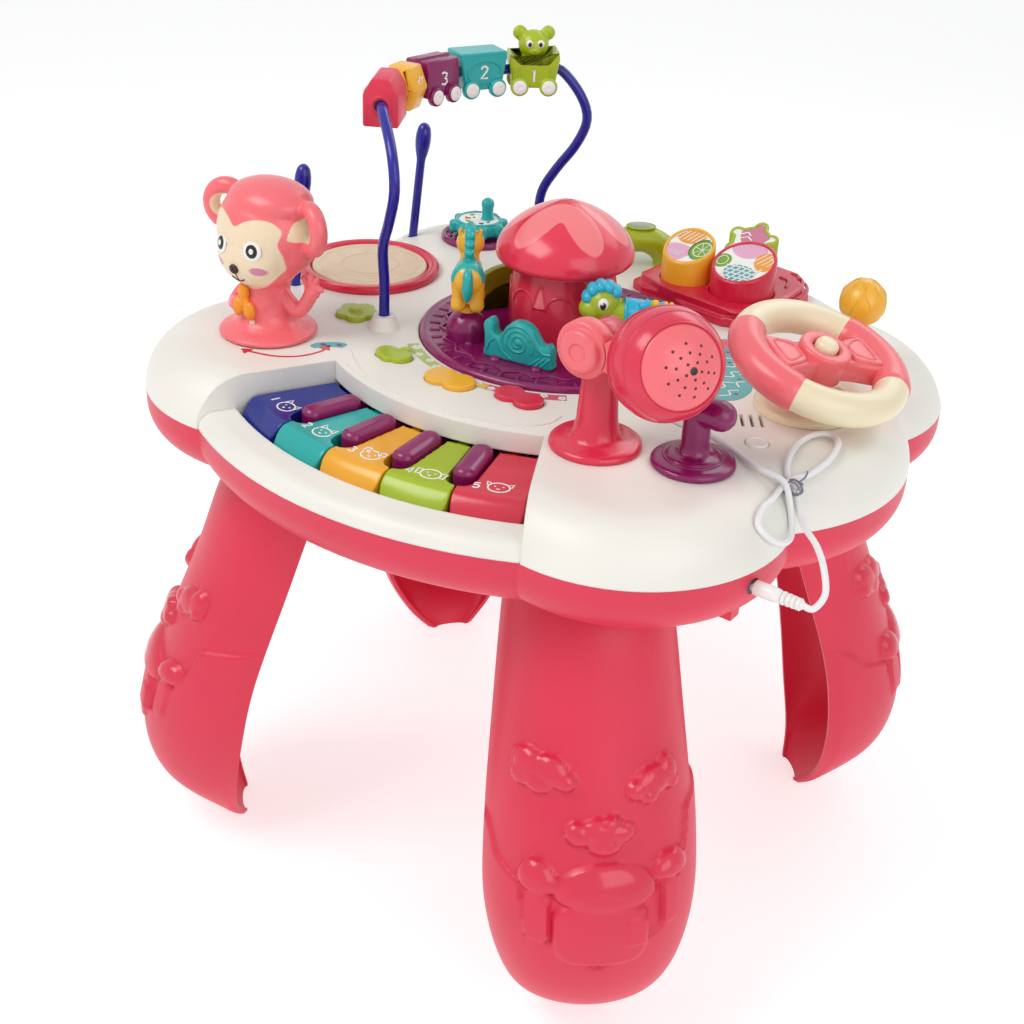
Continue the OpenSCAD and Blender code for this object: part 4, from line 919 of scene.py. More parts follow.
make("monkey_figure", [
    (monkey_at(monkey), monkey_skin),
    (monkey_at(spindle), salmon_gloss),
    (monkey_at(merge(*whites, *glints)), white_gloss),
    (monkey_at(merge(*blacks)), print_and_shade_black),
    (monkey_at(merge(nose, mouth)), moulded("brown_painted_nose", "#4A161B", 0.2, 1.5, 0.01)),
    (monkey_at(scarf), moulded("orange_gloss_abs", "#F39A28", 0.3, 1.5, 0.01)),
    (monkey_at(button), cream_gloss)],
    "monkey", ("monkey",),
    fields, angle=60)


# ---- drum, sticks ----

def at(c, shape, z=TOP, spin=0.0):
    return move(shape, (c[0], c[1], z), turn("Z", spin) if spin else None)


hoop = lathe([(36, 0.2), (43.3, 0.2), (43.5, 2), (43.1, 3.8), (41.8, 5.0), (39.6, 5.0), (37.6, 4.4),
              (36.3, 3.0)], 128, closed=True)
make("drum_hoop", [(at(DRUM_C, hoop), crimson_gloss)], "table", ("drum_ring",))
head_plate = lathe(dome(35.6, 2.4, 1.4, 1.8), 96)
bed = lathe([(0, -4), (29.4, -4), (29.4, 2), (0, 2)], 64)


def wavy(r, depth, count, phase=0.0, n=120):
    return [((r + depth * sin(count * t + phase)) * cos(t), (r + depth * sin(count * t + phase)) * sin(t))
            for t in [2 * pi * k / n for k in range(n + 1)]]


def bead_line(path, r, z, n=8, flat=0.7):
    """A raised half-round line lying at a height."""
    return tube([(x, y, z) for x, y in path], r, n, flat=flat)


relief = merge(
    bead_line(wavy(30.5, 1.0, 12), 0.55, 4.1), bead_line(wavy(17.5, 0, 1), 0.7, 4.1),
    bead_line([(8 + 6 * cos(t), 9 + 5 * sin(t)) for t in np.linspace(0.2, 2.6, 20)], 0.5, 4.1),
    *[bead_line([(23.5 * cos(t) + 2.6 * cos(q), 23.5 * sin(t) + 2.6 * sin(q))
                 for q in np.linspace(0, 2 * pi, 22)], 0.45, 4.1) for t in np.arange(0, 2 * pi, pi / 4)])
make("drum_head", [(at(DRUM_C, merge(head_plate, bed, relief)),
                    moulded("beige_satin_abs", "#E6CDB0", 0.38, 0.8, 0.02))],
     "drum_skin", ("drum_skin",))

stick = lathe([(0, -9), (2.8, -9), (2.8, 50), (3.1, 52.5), (4.0, 56), (4.7, 60), (5.0, 64), (4.8, 68),
               (4.0, 72), (2.6, 74.2), (1.2, 75), (0, 75.1)], 40)
lean = turn("Z", 35) @ turn("Y", 5.2)
for node_name, foot in (("mallet_near", (-163, -37)), ("mallet_far", (-167, 80))):
    make("stick_of_" + node_name, [(move(stick, (*foot, TOP), lean), wire_paint)],
         node_name, (node_name,))

# ---- piano keys ----

ICON_R = 186.0
KEY_COLOURS = (("key_navy", "#27408E", "1"), ("key_teal", "#1FB0AC", "2"), ("key_yellow", "#F3AF35", "3"),
               ("key_lime", "#A9C023", "4"), ("key_red", "#DB4355", "5"))


def animal_line(kind):
    """A plain outline of an animal's face, a different one for each key."""
    head = [(2.9 * cos(t), 2.4 * sin(t)) for t in np.linspace(0, 2 * pi, 28)]
    lines = [head, [(-0.4, -0.6), (0, -1.0), (0.4, -0.6)]]
    lines += [[(x - 0.25, 0.5), (x + 0.25, 0.5)] for x in (-1.1, 1.1)]
    for s in (-1, 1):
        if kind == 0:
            lines.append([(s * 1.2, 2.2), (s * 2.6, 3.5), (s * 2.8, 1.2)])
        elif kind == 1:
            lines.append([(s * 1.0, 2.3), (s * 2.4, 3.9), (s * 2.7, 0.9)])
        elif kind == 2:
            lines.append([(s * (2.5 + 1.1 * cos(t)), 1.9 + 1.1 * sin(t)) for t in np.linspace(0, 2 * pi,
                14)])
        elif kind == 3:
            lines.append([(s * 2.6, 1.4), (s * 4.3, 1.6), (s * 4.0, -1.2), (s * 2.8, -0.9)])
        else:
            lines.append([(s * 2.2, 1.7), (s * 3.6, 2.6), (s * 3.2, 0.6)])
    return merge(*[ribbon(line, 0.45, 0.22) for line in lines])


for k, (node_name, colour, code) in enumerate(KEY_COLOURS):
    angle = -22 + 11 * k
    skin = fuse(solid_of(node_name), 0.6, 7)
    a = radians(angle - 90)
    out = np.array((cos(a), sin(a), 0))
    across = np.array((-sin(a), cos(a), 0))
    sp = skin[0]
    d = np.clip(np.hypot(sp[:, 0] - KEY_C[0], sp[:, 1] - KEY_C[1]) - 193.4, 0, 12)
    high = np.clip((sp[:, 2] - SEAM - 3) / 12.8, 0, 1)
    along = (sp[:, :2] - np.array(KEY_C)) @ across[:2]
    sp[:, 2] -= 0.058 * d ** 2 * high
    sp[:, :2] -= np.outer(along * 0.15 * np.clip((d - 4) / 8, 0, 1) ** 2, across[:2])
    place = np.array((*KEY_C, SEAM + 15.86)) + out * ICON_R
    icon = animal_line(k)
    icon = (arr(icon[0]) * np.array((1.9, 1.9, 1)), icon[1])
    marks = merge(frame_on(move(digit(code, 5.0, 0.9), (-8.6, -1.0, 0)), place, across, -out),
                  frame_on(move(icon, (2.4, 0, 0)), place, across, -out))
    make("playing_" + node_name, [
        (skin, moulded("gloss_abs_" + node_name, colour, 0.2, 1.5, 0.01)), (marks, print_white)],
        node_name, (node_name,), angle=70)
for k in range(4):
    node_name = "sharp_%d" % (k + 1)
    sharp_points, sharp_faces = fuse(solid_of(node_name), 0.55, 7)
    from_centre = sharp_points[:, :2] - np.array(KEY_C)
    far = np.linalg.norm(from_centre, axis=1)
    share = (far - far.min()) / np.ptp(far)
    sharp_points[:, :2] -= from_centre / far[:, None] * (5.0 * share ** 1.5)[:, None]
    make("playing_" + node_name, [((sharp_points, sharp_faces), plum_gloss)],
         node_name, (node_name,), angle=70)


# ---- carousel ----

def car(shape, spin=0.0, z=TOP):
    return at(CAR_C, shape, z, spin)


pan = lathe([(0, -5.2), (80.6, -5.2), (80.8, -4.6), (80.8, 0.8), (80.3, 2.2), (79, 3.0), (77.4, 3.1),
             (76, 2.7), (75, 2.1), (66, 1.7), (64.5, 2.4), (63, 2.4), (61.5, 2.0), (0, 2.0)], 160)
axle = lathe([(0, -16), (8, -16), (8, -5), (0, -5)], 48)
zigzag = []
for k in range(49):
    t = 2 * pi * k / 48
    r = 66.5 + (2.2 if k % 2 else -2.2)
    zigzag.append((r * cos(t), r * sin(t)))
zigzag = [p for a, b in zip(zigzag, zigzag[1:]) for p in (a, tuple((np.array(a) + b) / 2))] + [zigzag[-1]]
dashes = [bead_line([(r * cos(t), r * sin(t)) for r in (70, 71.5, 73, 74.5)], 0.9, 2.2)
          for t in np.arange(0, 2 * pi, pi / 22)]
bumps = [move(ball((0, 0, 0), (3.2, 3.2, 1.6), nu=20, nv=12), (57 * cos(t), 57 * sin(t), 2.1))
         for t in np.arange(0.15, 2 * pi, pi / 7)]
make("carousel_pan", [(car(merge(pan, axle, bead_line(zigzag, 0.95, 2.3), *dashes, *bumps)), plum_gloss)],
     "carousel", ("carousel_plate",))

# the olive hill with a hollow arch, standing behind the pony
hill_turn = turn("Z", 62) @ turn("X", 90)
hill_line = [(26 * cos(t), 26 * sin(t)) for t in np.linspace(0, pi, 40)]
hollow = [(14.5 * cos(t), 14.5 * sin(t)) for t in np.linspace(pi, 0, 30)]
hill = plate(hill_line + [(-26, 0), (-15.2, 0)] + hollow + [(15.2, 0), (25.9, 0)],
             [(0.7, -2.6), (0.2, -2.4), (0, -1.9), (0, 1.9), (0.2, 2.4), (0.7, 2.6)])
make("hill_arch", [(move(hill, (CAR_C[0] - 46, CAR_C[1] + 8, TOP + 2), hill_turn), olive_gloss)],
     "carousel", ())

# toadstool: stalk with arched windows, and a two-tone cap
stalk_profile = []
for k in range(33):
    z = k * 43 / 32
    r = -70 + sqrt(100.5 ** 2 - (z - 16) ** 2)
    stalk_profile.append((r, z))
stalk = lathe([(0, 0)] + stalk_profile + [(0, 43)], 96)


def stalk_at(angle, z, lift=0.0):
    r = -70 + sqrt(100.5 ** 2 - (z - 16) ** 2) + lift
    return (r * cos(radians(angle)), r * sin(radians(angle)), z)


def on_stalk(path, centre, r, n=8):
    """A raised line drawn on the stalk: path is (arc mm, height)."""
    return tube([stalk_at(centre + degrees(x / 30), z) for x, z in path], r, n)


window_in, window_out, scallops = [], [], []
for centre in (-81, 39, 159):
    tri = [(-3.8, 24), (-2.6, 29), (0, 36), (2.6, 29), (3.8, 24)]
    window_out.append(on_stalk(catmull([(x, z, 0) for x, z in tri], 4)[:, :2], centre, 0.75))
    window_out.append(on_stalk([(-3.8, 24), (0, 23.4), (3.8, 24)], centre, 0.75))
    rows = []
    for z in np.linspace(24.3, 34.5, 12):
        w = np.interp(z, (24, 29, 36), (3.4, 2.3, 0.1))
        rows.append([stalk_at(centre + degrees(x / 30), z, 0.35) for x in np.linspace(-w, w, 7)]
                    + [stalk_at(centre + degrees(x / 30), z, -0.6) for x in np.linspace(w, -w, 7)])
    window_in.append(rings(rows))
for k in range(8):
    arch_path = [(8.5 * cos(t), 22 + 9 * sin(t)) for t in np.linspace(0.1, pi - 0.1, 14)]
    scallops.append(on_stalk(arch_path, -81 + 22.5 + 45 * k, 0.7))
make("toadstool_stalk", [
    (car(merge(stalk, *window_out, *scallops), z=TOP + 2), coral_gloss),
    (car(merge(*window_in), z=TOP + 2), salmon_gloss)],
    "carousel", ("mushroom_stem",))

cap_out = []
for k in range(60):
    z = 34.5 * k / 59
    t = max(z - 4.3, 0) / 30.3
    cap_out.append((max(39 * (1 - t ** 1.9) ** 0.72, 0.6), z))
cap_profile = [(0, 4.6), (12, 4.6), (28, 3.4), (33, 1.6), (35.6, 0.8), (37.4, 1.2), (38.6, 2.6),
               (39.0, 4.3)] \
    + [q for q in cap_out[1:] if q[1] > 5] + [(0, 34.6)]
cap = lathe(cap_profile, 160)
cp = cap[0]
turned = np.degrees(np.arctan2(cp[:, 1], cp[:, 0]))
down = np.hypot(cp[:, 0], cp[:, 1])
petal = np.full(len(cp), 50.0)
for centre in (-66, 54, 174):
    d = np.abs((turned - centre + 180) % 360 - 180)
    flat = np.stack([down * np.sin(np.radians(d)), -down * np.cos(np.radians(d))], 1)
    outline = closed_curve([(0.0, -5), (7.5, -6), (15.5, -10), (22.5, -17), (24.6, -23.5), (21, -29),
                            (13.5, -29.8), (6.5, -25.5), (0, -19.5), (-6.5, -25.5), (-13.5, -29.8),
                            (-21, -29),
                            (-24.6, -23.5), (-22.5, -17), (-15.5, -10), (-7.5, -6)][::-1], 5)
    petal = np.minimum(petal, polygon_distance(flat, outline) + np.where(d < 60, 0, 50))
petal += np.where(cp[:, 2] > 4.7, 0, 50)
cap_skin = moulded("two_tone_coral_abs", "#E9475C", 0.2, 1.5, 0.01, paint=(("petal", "#F9898C", 0.35),))
underside = lathe([(12.5, 0.6), (24, 0.4), (33.5, 0), (35.6, 0.4), (36.0, 1.6), (33.4, 2.6), (12.5, 3.4)],
                  128,
                  closed=True)
make("toadstool_cap", [
    (car(cap, z=TOP + 45), cap_skin),
    (car(underside, z=TOP + 45), moulded("pale_blue_abs", "#C9D9E6", 0.3, 1.5, 0.01)),
    (car(lathe([(0, -4.6), (18, -3), (26, -1), (26.5, 0.2), (0, 1.2)], 96), z=TOP + 45), crimson_gloss)],
    "carousel", ("mushroom_cap",), {"petal": petal})


# ---- the three figures that ride on the carousel ----

PONY = turn("Z", 125)


def pony_at(shape):
    return move(shape, (-34, -34, TOP), PONY)


pony_body = merge(
    ball((0, 0, 40), (11, 8.2, 8.0)), ball((-6.5, 0, 39), (8.2, 9.6, 9.6)), ball((6, 0, 40), (7, 7.4, 8.6)),
    *[tube([(x, y, 36), (x * 1.04, y * 1.02, 29), (x * 1.08, y * 1.08, 24)], [4.6, 3.9, 4.3], 16)
      for x in (-7, 6.4) for y in (-4.8, 4.8)],
    tube([(5, 0, 41), (8, 0, 47), (10, 0, 52)], [6.2, 5.4, 5.6], 16), ball((10, 0, 54), (7.4, 7.8, 7.6)),
    ball((17, 0, 50), (6.2, 4.8, 4.8)),
    *[tube([(8.4, y, 59), (8, y * 1.15, 62)], [1.9, 1.1], 10) for y in (-5, 5)])
pony_skin = fuse(pony_body, 0.55, 4)
pp = pony_skin[0]
saddle = np.maximum(41.5 - 0.05 * pp[:, 1] ** 2 - pp[:, 2], np.maximum(-11.5 - pp[:, 0], pp[:, 0] - 3.5))
saddle = np.where(pp[:, 2] < 50, saddle, 50)
pony_paint = moulded("golden_abs_painted_saddle", GOLD, 0.24, 1.5, 0.01,
                     paint=(("saddle", "#2BB5AE", 0.25),))
mane = fuse(merge(tube(catmull([(13.5, 0, 60), (9, 0, 63.6), (4.4, 0, 61), (2.2, 0, 54.5), (0.6, 0, 48.5),
                                (-1.5, 0, 45)], 4), [2.4] * 4 + [2.9] * 8 + [2.6] * 5 + [1.9] * 4, 14),
                  *[ball((x, 0, z), (2.4, 3.0, 2.2)) for x, z in ((2.0, 60.5), (0.6, 56), (-0.4, 51.5))]),
                  0.45, 3)
tail = tube(catmull([(-11, 0, 45.5), (-14.2, 0, 43.6), (-15.4, 0, 38), (-14.6, 0, 31.5), (-13.8, 0, 28.2)],
                    5),
            list(np.interp(np.linspace(0, 1, 21), (0, 0.3, 0.6, 0.85, 1), (1.6, 2.8, 3.1, 2.0, 0.7))), 16)
make("pony_figure", [
    (pony_at(pony_skin), pony_paint), (pony_at(merge(mane, tail)), teal_gloss),
    (move(lathe(dome(11.8, 17.2, 11.7)), (-34, -34, TOP + 1.8)), plum_gloss),
    (move(lathe([(0, 14), (5.2, 14), (5.2, 21), (4.4, 22), (0, 22)], 40), (-34, -34, TOP)), gold_gloss),
    (pony_at(merge(*[ball((12.5, y * 6.1, 56), (1.3, 0.9, 1.6), nu=16, nv=10) for y in (-1, 1)])),
     print_and_shade_black)],
    "carousel", ("pony",), {"saddle": saddle}, angle=60)

SNAIL = turn("Z", 8) @ turn("X", 90)


def snail_at(shape):
    return move(shape, (9, -42, TOP + 2), SNAIL)


snail_line = closed_curve([
    (20.3, 0.3), (20.6, 4), (20.4, 8.5), (19.6, 12), (17.6, 13.8), (15.4, 13), (13.4, 13.2), (11.2, 16),
    (8.4, 20),
    (4.4, 22.7), (0, 23.5), (-4.2, 22.6), (-8, 19.2), (-10.4, 14.6), (-13.2, 13.2), (-15.2, 15.6),
    (-15.6, 19.2),
    (-17.6, 21.6), (-20.4, 20.8), (-21.8, 17.6), (-21, 12.4), (-20.8, 6), (-20.5, 0.3), (-10, 0), (0, 0),
    (10, 0)], 5)
spiral = [((7.6 - 6.4 * k / 60) * cos(0.35 + 4.4 * pi * k / 60),
           12 + (7.6 - 6.4 * k / 60) * sin(0.35 + 4.4 * pi * k / 60))
          for k in range(61)]
snail_lines = merge(
    bead_line([(9.6 * cos(t), 12 + 9.6 * sin(t)) for t in np.linspace(-0.5, 3.7, 40)], 0.7, 4.0),
    bead_line(spiral, 0.65, 4.0), bead_line([(-18.9, 4), (-17.6, 9), (-14.2, 12), (-11.6, 9.6), (-9.6, 5.4),
                                             (-4, 1.6)], 0.7, 4.0),
    *[bead_line([(19.4 - 3.1 * k, 6.6 - 0.5 * k), (14.8 - 3.1 * k, 1.6)], 0.7, 4.0) for k in range(3)],
    bead_line([(20, 9.4), (15.4, 9.0), (12.6, 11.4)], 0.6, 4.0),
    ball((0.2, 12, 3.6), (2.2, 2.2, 1.2), nu=20, nv=12))
snail_lines = merge(snail_lines, (arr(snail_lines[0]) * np.array([1, 1, -1]), snail_lines[1]))
make("snail_figure", [(snail_at(merge(plate(snail_line, [(1.3, -4), (0.4, -3.6), (0, -2.9), (0, 2.9),
                                                         (0.4, 3.6), (1.3, 4)]),
                                      snail_lines)), teal_gloss)],
     "carousel", ("snail",), angle=35)

DINO = turn("Z", 35)


def dino_at(shape):
    return move(shape, (47, -14, TOP + 2), DINO)


dino_skin = fuse(merge(
    tube([(1, 0, 3), (0.4, 0, 14), (-1.6, 0, 30)], [8.2, 7.2, 6.6], 20), ball((-4, 0, 36), (9.3, 9.0, 9.2)),
    ball((-9.8, 0, 33), (7.2, 7.6, 6.4)), tube([(1, 0, 30), (10, 0, 31), (22, 0, 31.5)], [7.4, 8.2, 6.6],
                                               20),
    tube([(15, 0, 4), (15, 0, 26)], [5.2, 4.8], 14),
    tube(catmull([(20, 0, 32), (26, 0, 33), (32, 0, 33.5), (35.5, 0, 33)], 4),
         [6] * 3 + [4.6] * 4 + [3.6] * 4 + [3.2] * 2, 14),
    tube([(17, -5, 37), (24, -5.5, 39.5)], [2.4, 1.9], 12), lathe([(0, 0), (8, 0), (8, 3.5), (6.6, 5),
                                                                   (0, 5)], 48)), 0.6, 4)
dq = dino_skin[0]
band = np.abs(dq[:, 0] - 14 - 0.12 * (dq[:, 2] - 31)) - 6.2
band = np.where(dq[:, 2] > 21, band, 50)
tail_band = np.where(dq[:, 2] > 27, np.abs(dq[:, 0] - 26.2) - 2.9, 50)
tip_band = np.where((dq[:, 1] < -3) & (dq[:, 0] > 22.4) & (dq[:, 2] > 36), 22.4 - dq[:, 0], 50)
dino_paint = moulded("lime_abs_painted_bands", "#A7B92A", 0.26, 1.5, 0.01,
                     paint=(("band", "#35B4D8", 0.25), ("tail_band", "#35B4D8", 0.25), ("tip", GOLD, 0.25)))
crest = fuse(merge(*[ball((-4 + 9.0 * cos(radians(a)), 0, 36.4 + 9.4 * sin(radians(a))), (3.4, 5.8, 3.9))
                     for a in (162, 132, 102, 72, 44)]), 0.4, 1)
loops = merge(*[move(lathe([(r + 1.35 * cos(t), 1.35 * sin(t)) for t in np.linspace(0, 2 * pi, 13)[:-1]],
                           40, closed=True),
                     (x, 0, 33.2), turn("Y", 84)) for x, r in ((30.2, 3.7), (33.4, 3.4))])
hoops = merge(*[move(lathe([(r + 0.7 * cos(t), 0.9 * sin(t)) for t in np.linspace(0, 2 * pi, 13)[:-1]], 48,
                           closed=True),
                     (x, 0, 31.1), turn("Y", 90)) for x, r in ((8.2, 8.0), (19.9, 7.2))])
make("dinosaur_figure", [
    (dino_at(dino_skin), dino_paint), (dino_at(merge(crest, hoops)), sky_gloss),
    (dino_at(loops), gold_gloss),
    (dino_at(merge(*[ball((-4.2, s * 7.7, 38.0), (3.0, 1.9, 3.5), nu=24, nv=14) for s in (-1, 1)],
                   *[ball((-4.9, s * 9.5, 38.9), (0.7, 0.5, 0.8), nu=12, nv=8) for s in (-1, 1)])),
                   white_gloss),
    (dino_at(merge(*[ball((-4.3, s * 8.7, 37.7), (1.9, 1.2, 2.4), nu=24, nv=14) for s in (-1, 1)])),
     print_and_shade_black)],
    "carousel", ("dinosaur",), {"band": band, "tail_band": tail_band, "tip": tip_band},
    angle=60)


# ---- gear dial, tunnel, platform and shape blocks ----

dish = lathe([(4.1, 0.2), (24.3, 0.2), (24.5, 1.6), (24.2, 3.0), (23.2, 3.9), (22.2, 3.9), (21.2, 3.2),
              (20.8, 1.8),
              (4.1, 1.8)], 96, closed=True)
dots = merge(*[move(ball((0, 0, 0), (1.5, 1.5, 0.9), nu=16, nv=8), (18.6 * cos(t), 18.6 * sin(t), 2.0))
               for t in np.arange(0, 2 * pi, pi / 8)])
make("dial_bowl", [(at(GEAR_C, merge(dish, dots)), plum_gloss)], "table", ("dial_dish",))
gear_line = blend_outline([(0, 0, 16)] + [(16 * cos(k * pi / 4), 16 * sin(k * pi / 4),
                                           3.4) for k in range(8)], 192, ease=0.7)
gear = plate(gear_line, [(1.2, 5), (0.3, 5.5), (0, 6.4), (0, 11.0), (0.4, 12.2), (1.4, 12.9), (2.4, 13.0)])
gear_rim = lathe([(14.0 + 1.1 * cos(t), 13.0 + 0.9 * sin(t)) for t in np.linspace(0, 2 * pi, 13)[:-1]], 96,
                 closed=True)
gear_post = lathe([(0, -12), (4, -12), (4, 5.4), (0, 5.4)], 48)
knob = lathe([(0, 12.8), (4.6, 12.8), (3.9, 14.2), (3.6, 17), (3.8, 20)] + arc(0, 23.2, 4.3, -25, 90, 10),
             40)
gear_top = plate([(12.9 * cos(t), 12.9 * sin(t)) for t in np.linspace(0, 2 * pi, 61)[:-1]],
                 [(0, 12.6), (0, 13.12)])


def splash(outline, z, thick=0.12):
    return plate(outline, [(0, z), (0, z + thick)])


def spot(x, y, rx, ry, n=24, wave=0.0, count=3):
    return [(x + rx * (1 + wave * sin(count * t)) * cos(t), y + ry * (1 + wave * sin(count * t)) * sin(t))
            for t in np.linspace(0, 2 * pi, n + 1)[:-1]]


tomato = moulded("pad_print_red", "#E0523F", 0.45, 0.8, 0.01)
leaf = moulded("pad_print_green", "#7DAA36", 0.45, 0.8, 0.01)
pink = moulded("pad_print_pink", "#E9B4D0", 0.45, 0.8, 0.01)
peach = moulded("pad_print_orange", "#F2A64A", 0.45, 0.8, 0.01)
ocean = moulded("pad_print_teal", "#5FAFB5", 0.45, 0.8, 0.01)
rose = moulded("pad_print_rose", "#D2859D", 0.45, 0.8, 0.01)
make("gear_wheel", [
    (at(GEAR_C, merge(gear, gear_rim, gear_post, move(knob, (4, 4, 0)))), teal_gloss),
    (at(GEAR_C, gear_top), print_white),
    (at(GEAR_C, merge(splash(spot(-7, -3, 2.4, 1.7, wave=0.15), 13.1), splash(spot(1, 9.5, 2, 1.5), 13.1))),
     tomato),
    (at(GEAR_C, merge(splash(spot(-2.5, -7.5, 3, 1.4, wave=0.2), 13.1),
                      splash(spot(-8.5, 4, 1.6, 2), 13.1))), leaf),
    (at(GEAR_C, merge(splash(spot(6.5, -6, 1.8, 1.4), 13.1), splash(spot(-4.5, 0.5, 1.0, 1.0), 13.1),
                      splash(spot(8.5, -1, 0.8, 1.6), 13.1))), print_and_shade_black)],
    "gear_dial", ("gear_dial",), angle=45)

arch_path = [(19 * cos(t), 0, 19 * sin(t)) for t in np.linspace(0, pi, 49)]
layers = []
for k, (x, _, z) in enumerate(arch_path):
    t = pi * k / 48
    layers.append([((19 + 9.5 * cos(q)) * cos(t), 9.5 * sin(q), max((19 + 9.5 * cos(q)) * sin(t), 0))
                   for q in np.linspace(0, 2 * pi, 33)[:-1]])
tunnel = rings(layers)
lens = plate(spot(0, 0, 8.2, 5.6, 40), [(0, 26.2), (0, 28.6), (0.5, 29.1), (1.4, 29.4)])


def lower(shape):
    return arr(shape[0]) * np.array((1.0, 1.0, 0.88)), shape[1]


lens_rim = [(9.0 * cos(t), 6.3 * sin(t), 28.3) for t in np.linspace(0, 2 * pi, 41)]
make("arch_with_window", [
    (at(ARCH_C, lower(merge(tunnel, tube(lens_rim, 0.7, 10))), spin=35), lime_gloss),
    (at(ARCH_C, lower(lens), spin=35), grey_window)], "table", ("arch_tunnel",))

RIM = closed_curve([(-8, 98), (20, 86), (66, 80), (80, 86), (88, 112), (88, 150), (70, 172), (20, 175),
                    (10, 150),
                    (-6, 130)], 10)


def clear_of_carousel(points, r):
    out = []
    for x, y in points:
        dx, dy = x - CAR_C[0], y - CAR_C[1]
        far = hypot(dx, dy)
        k = max(1.0, r / far)
        out.append((CAR_C[0] + dx * k, CAR_C[1] + dy * k))
    return out


egg_line = blend_outline([(0, 0, 16), (-3, 4, 13.5)], 72, around=(-1, 1), ease=1.0)
round_line = spot(0, 0, 19.5, 19.5, 72)
star_line = blend_outline([(0, 0, 12.4)] + [(12.6 * cos(radians(90 + 72 * k)),
                                             12.6 * sin(radians(90 + 72 * k)), 4.8)
                                            for k in range(5)], 120, ease=1.0)
hooks = merge(*[tube([(x, y, 10.1) for x, y in catmull([(*q, 0) for q in line], 5)[:, :2]], 1.1, 10)
                for line in (((68.8, 163.6), (73, 162.5), (75.5, 158.5)),
                             ((66.5, 152.5), (71, 151.5), (74.5, 147), (76.6, 140)))])
step_lines = merge(*[tube([(x, y, z) for x, y in clear_of_carousel(offset(RIM, d)[20:88:2], 85.5 + d)], r,
                          10)
                     for d, z, r in ((2.2, 5.0, 1.1), (5.6, 8.4, 1.3))])
make("block_stand", [(merge(fuse(solid_of("block_platform"), 0.7, 6), at((0, 0), hooks),
                            at((0, 0), step_lines)),
                      crimson_gloss)],
     "table", ("block_platform",), angle=60)

SLOPE = sin(radians(20)) / cos(radians(20))


def slanted(outline, h, rim=2.2, root=0.0):
    """A shape block with a sloping top: its wall and rim, and the sticker's place."""
    def ring(d, z, tilt=True):
        return [(x, y, z + (y * SLOPE if tilt else 0)) for x, y in offset(outline, d)]
    wall = rings([ring(0.5 + root, 0.2, False), ring(root, 0.8, False), ring(root, 3.3, False),
                  ring(0, 4.2, False), ring(0, h - 1.3), ring(0.4, h - 0.3), ring(1.0, h),
                  ring(rim - 0.4, h), ring(rim, h - 0.5), ring(rim, h - 1.4)])
    label = rings([ring(rim, h - 1.6), ring(rim, h - 0.9)])
    return wall, label


def tuck(points, outline, margin):
    """Pulls a print's points inside the block's rim."""
    edge = offset(outline, margin)
    angles = np.arctan2(edge[:, 1], edge[:, 0])
    order = np.argsort(angles)
    reach = np.hypot(edge[:, 0], edge[:, 1])[order]
    out = []
    for x, y in points:
        far = hypot(x, y)
        most = np.interp(atan2(y, x), angles[order], reach, period=2 * pi)
        k = min(1.0, most / far) if far > 0.01 else 1.0
        out.append((x * k, y * k))
    return out


def printed(points, outline, h, level, margin=2.3):
    flat = tuck(points, outline, margin)
    z = h - 0.9 + 0.05 + 0.05 * level
    return rings([[(x, y, z - 0.3 + y * SLOPE) for x, y in flat], [(x, y, z + y * SLOPE) for x, y in flat]])


def stroke(points, outline, h, level, width=0.55):
    p = np.array(tuck(points, outline, 2.6))
    flat = ribbon(p, width, 0.1)
    q = arr(flat[0])
    q[:, 2] += h - 0.9 + 0.05 * level + q[:, 1] * SLOPE
    return q, flat[1]


def block(name, node, c, outline, h, mat, prints):
    wall, label = slanted(outline, h, root=3.9 if node == "star_block" else 0.0)
    parts = [(at(c, wall, TOP + 7), mat), (at(c, label, TOP + 7), print_white)]
    for shapes, ink in prints:
        parts.append((at(c, merge(*shapes), TOP + 7), ink))
    make(name, parts, node, (node,), angle=35)


def hatch(x0, x1, y0, y1, n, lean=0.4):
    return [[(x0 + (x1 - x0) * k / (n - 1) - lean * (y1 - y0) / 2, y0),
             (x0 + (x1 - x0) * k / (n - 1), (y0 + y1) / 2),
             (x0 + (x1 - x0) * k / (n - 1) + lean * (y1 - y0) / 2, y1)] for k in range(n)]


L, H = egg_line, 22.5
block("egg_piece", "egg_block", BLOCKS[0], L, H, gold_gloss, (
    ([printed(spot(-4.5, 9.5, 9.5, 6.5, wave=0.06), L, H, 1)], peach),
    ([printed(spot(-6, -6, 9, 8, wave=0.08), L, H, 1)], pink),
    ([printed(spot(8.6, 0.5, 7.5, 9.0), L, H, 2)], leaf),
    ([stroke(s, L, H, 4, 0.7) for s in hatch(-12, 3, 5, 14, 6)]
     + [stroke([(8.6 + 5.2 * cos(t), 0.5 + 6.4 * sin(t)) for t in np.linspace(0, 2 * pi, 30)], L, H, 4)]
     + [stroke([(8.6, 0.5), (8.6 + 4.8 * cos(t), 0.5 + 6 * sin(t))], L, H, 4, 0.4) for t in np.arange(0.3,
         6.2, 0.9)]
     + [stroke(s, L, H, 4, 0.4) for s in hatch(-10, -2, -9, -4, 5)], print_white),
    ([stroke([(8.6 + 7.6 * cos(t), 0.5 + 9.1 * sin(t)) for t in np.linspace(1.6, 4.7, 20)], L, H, 5, 0.7)],
     moulded("pad_print_dark_green", "#4C7A34", 0.45, 0.8, 0.01))))
L, H = round_line, 21.5
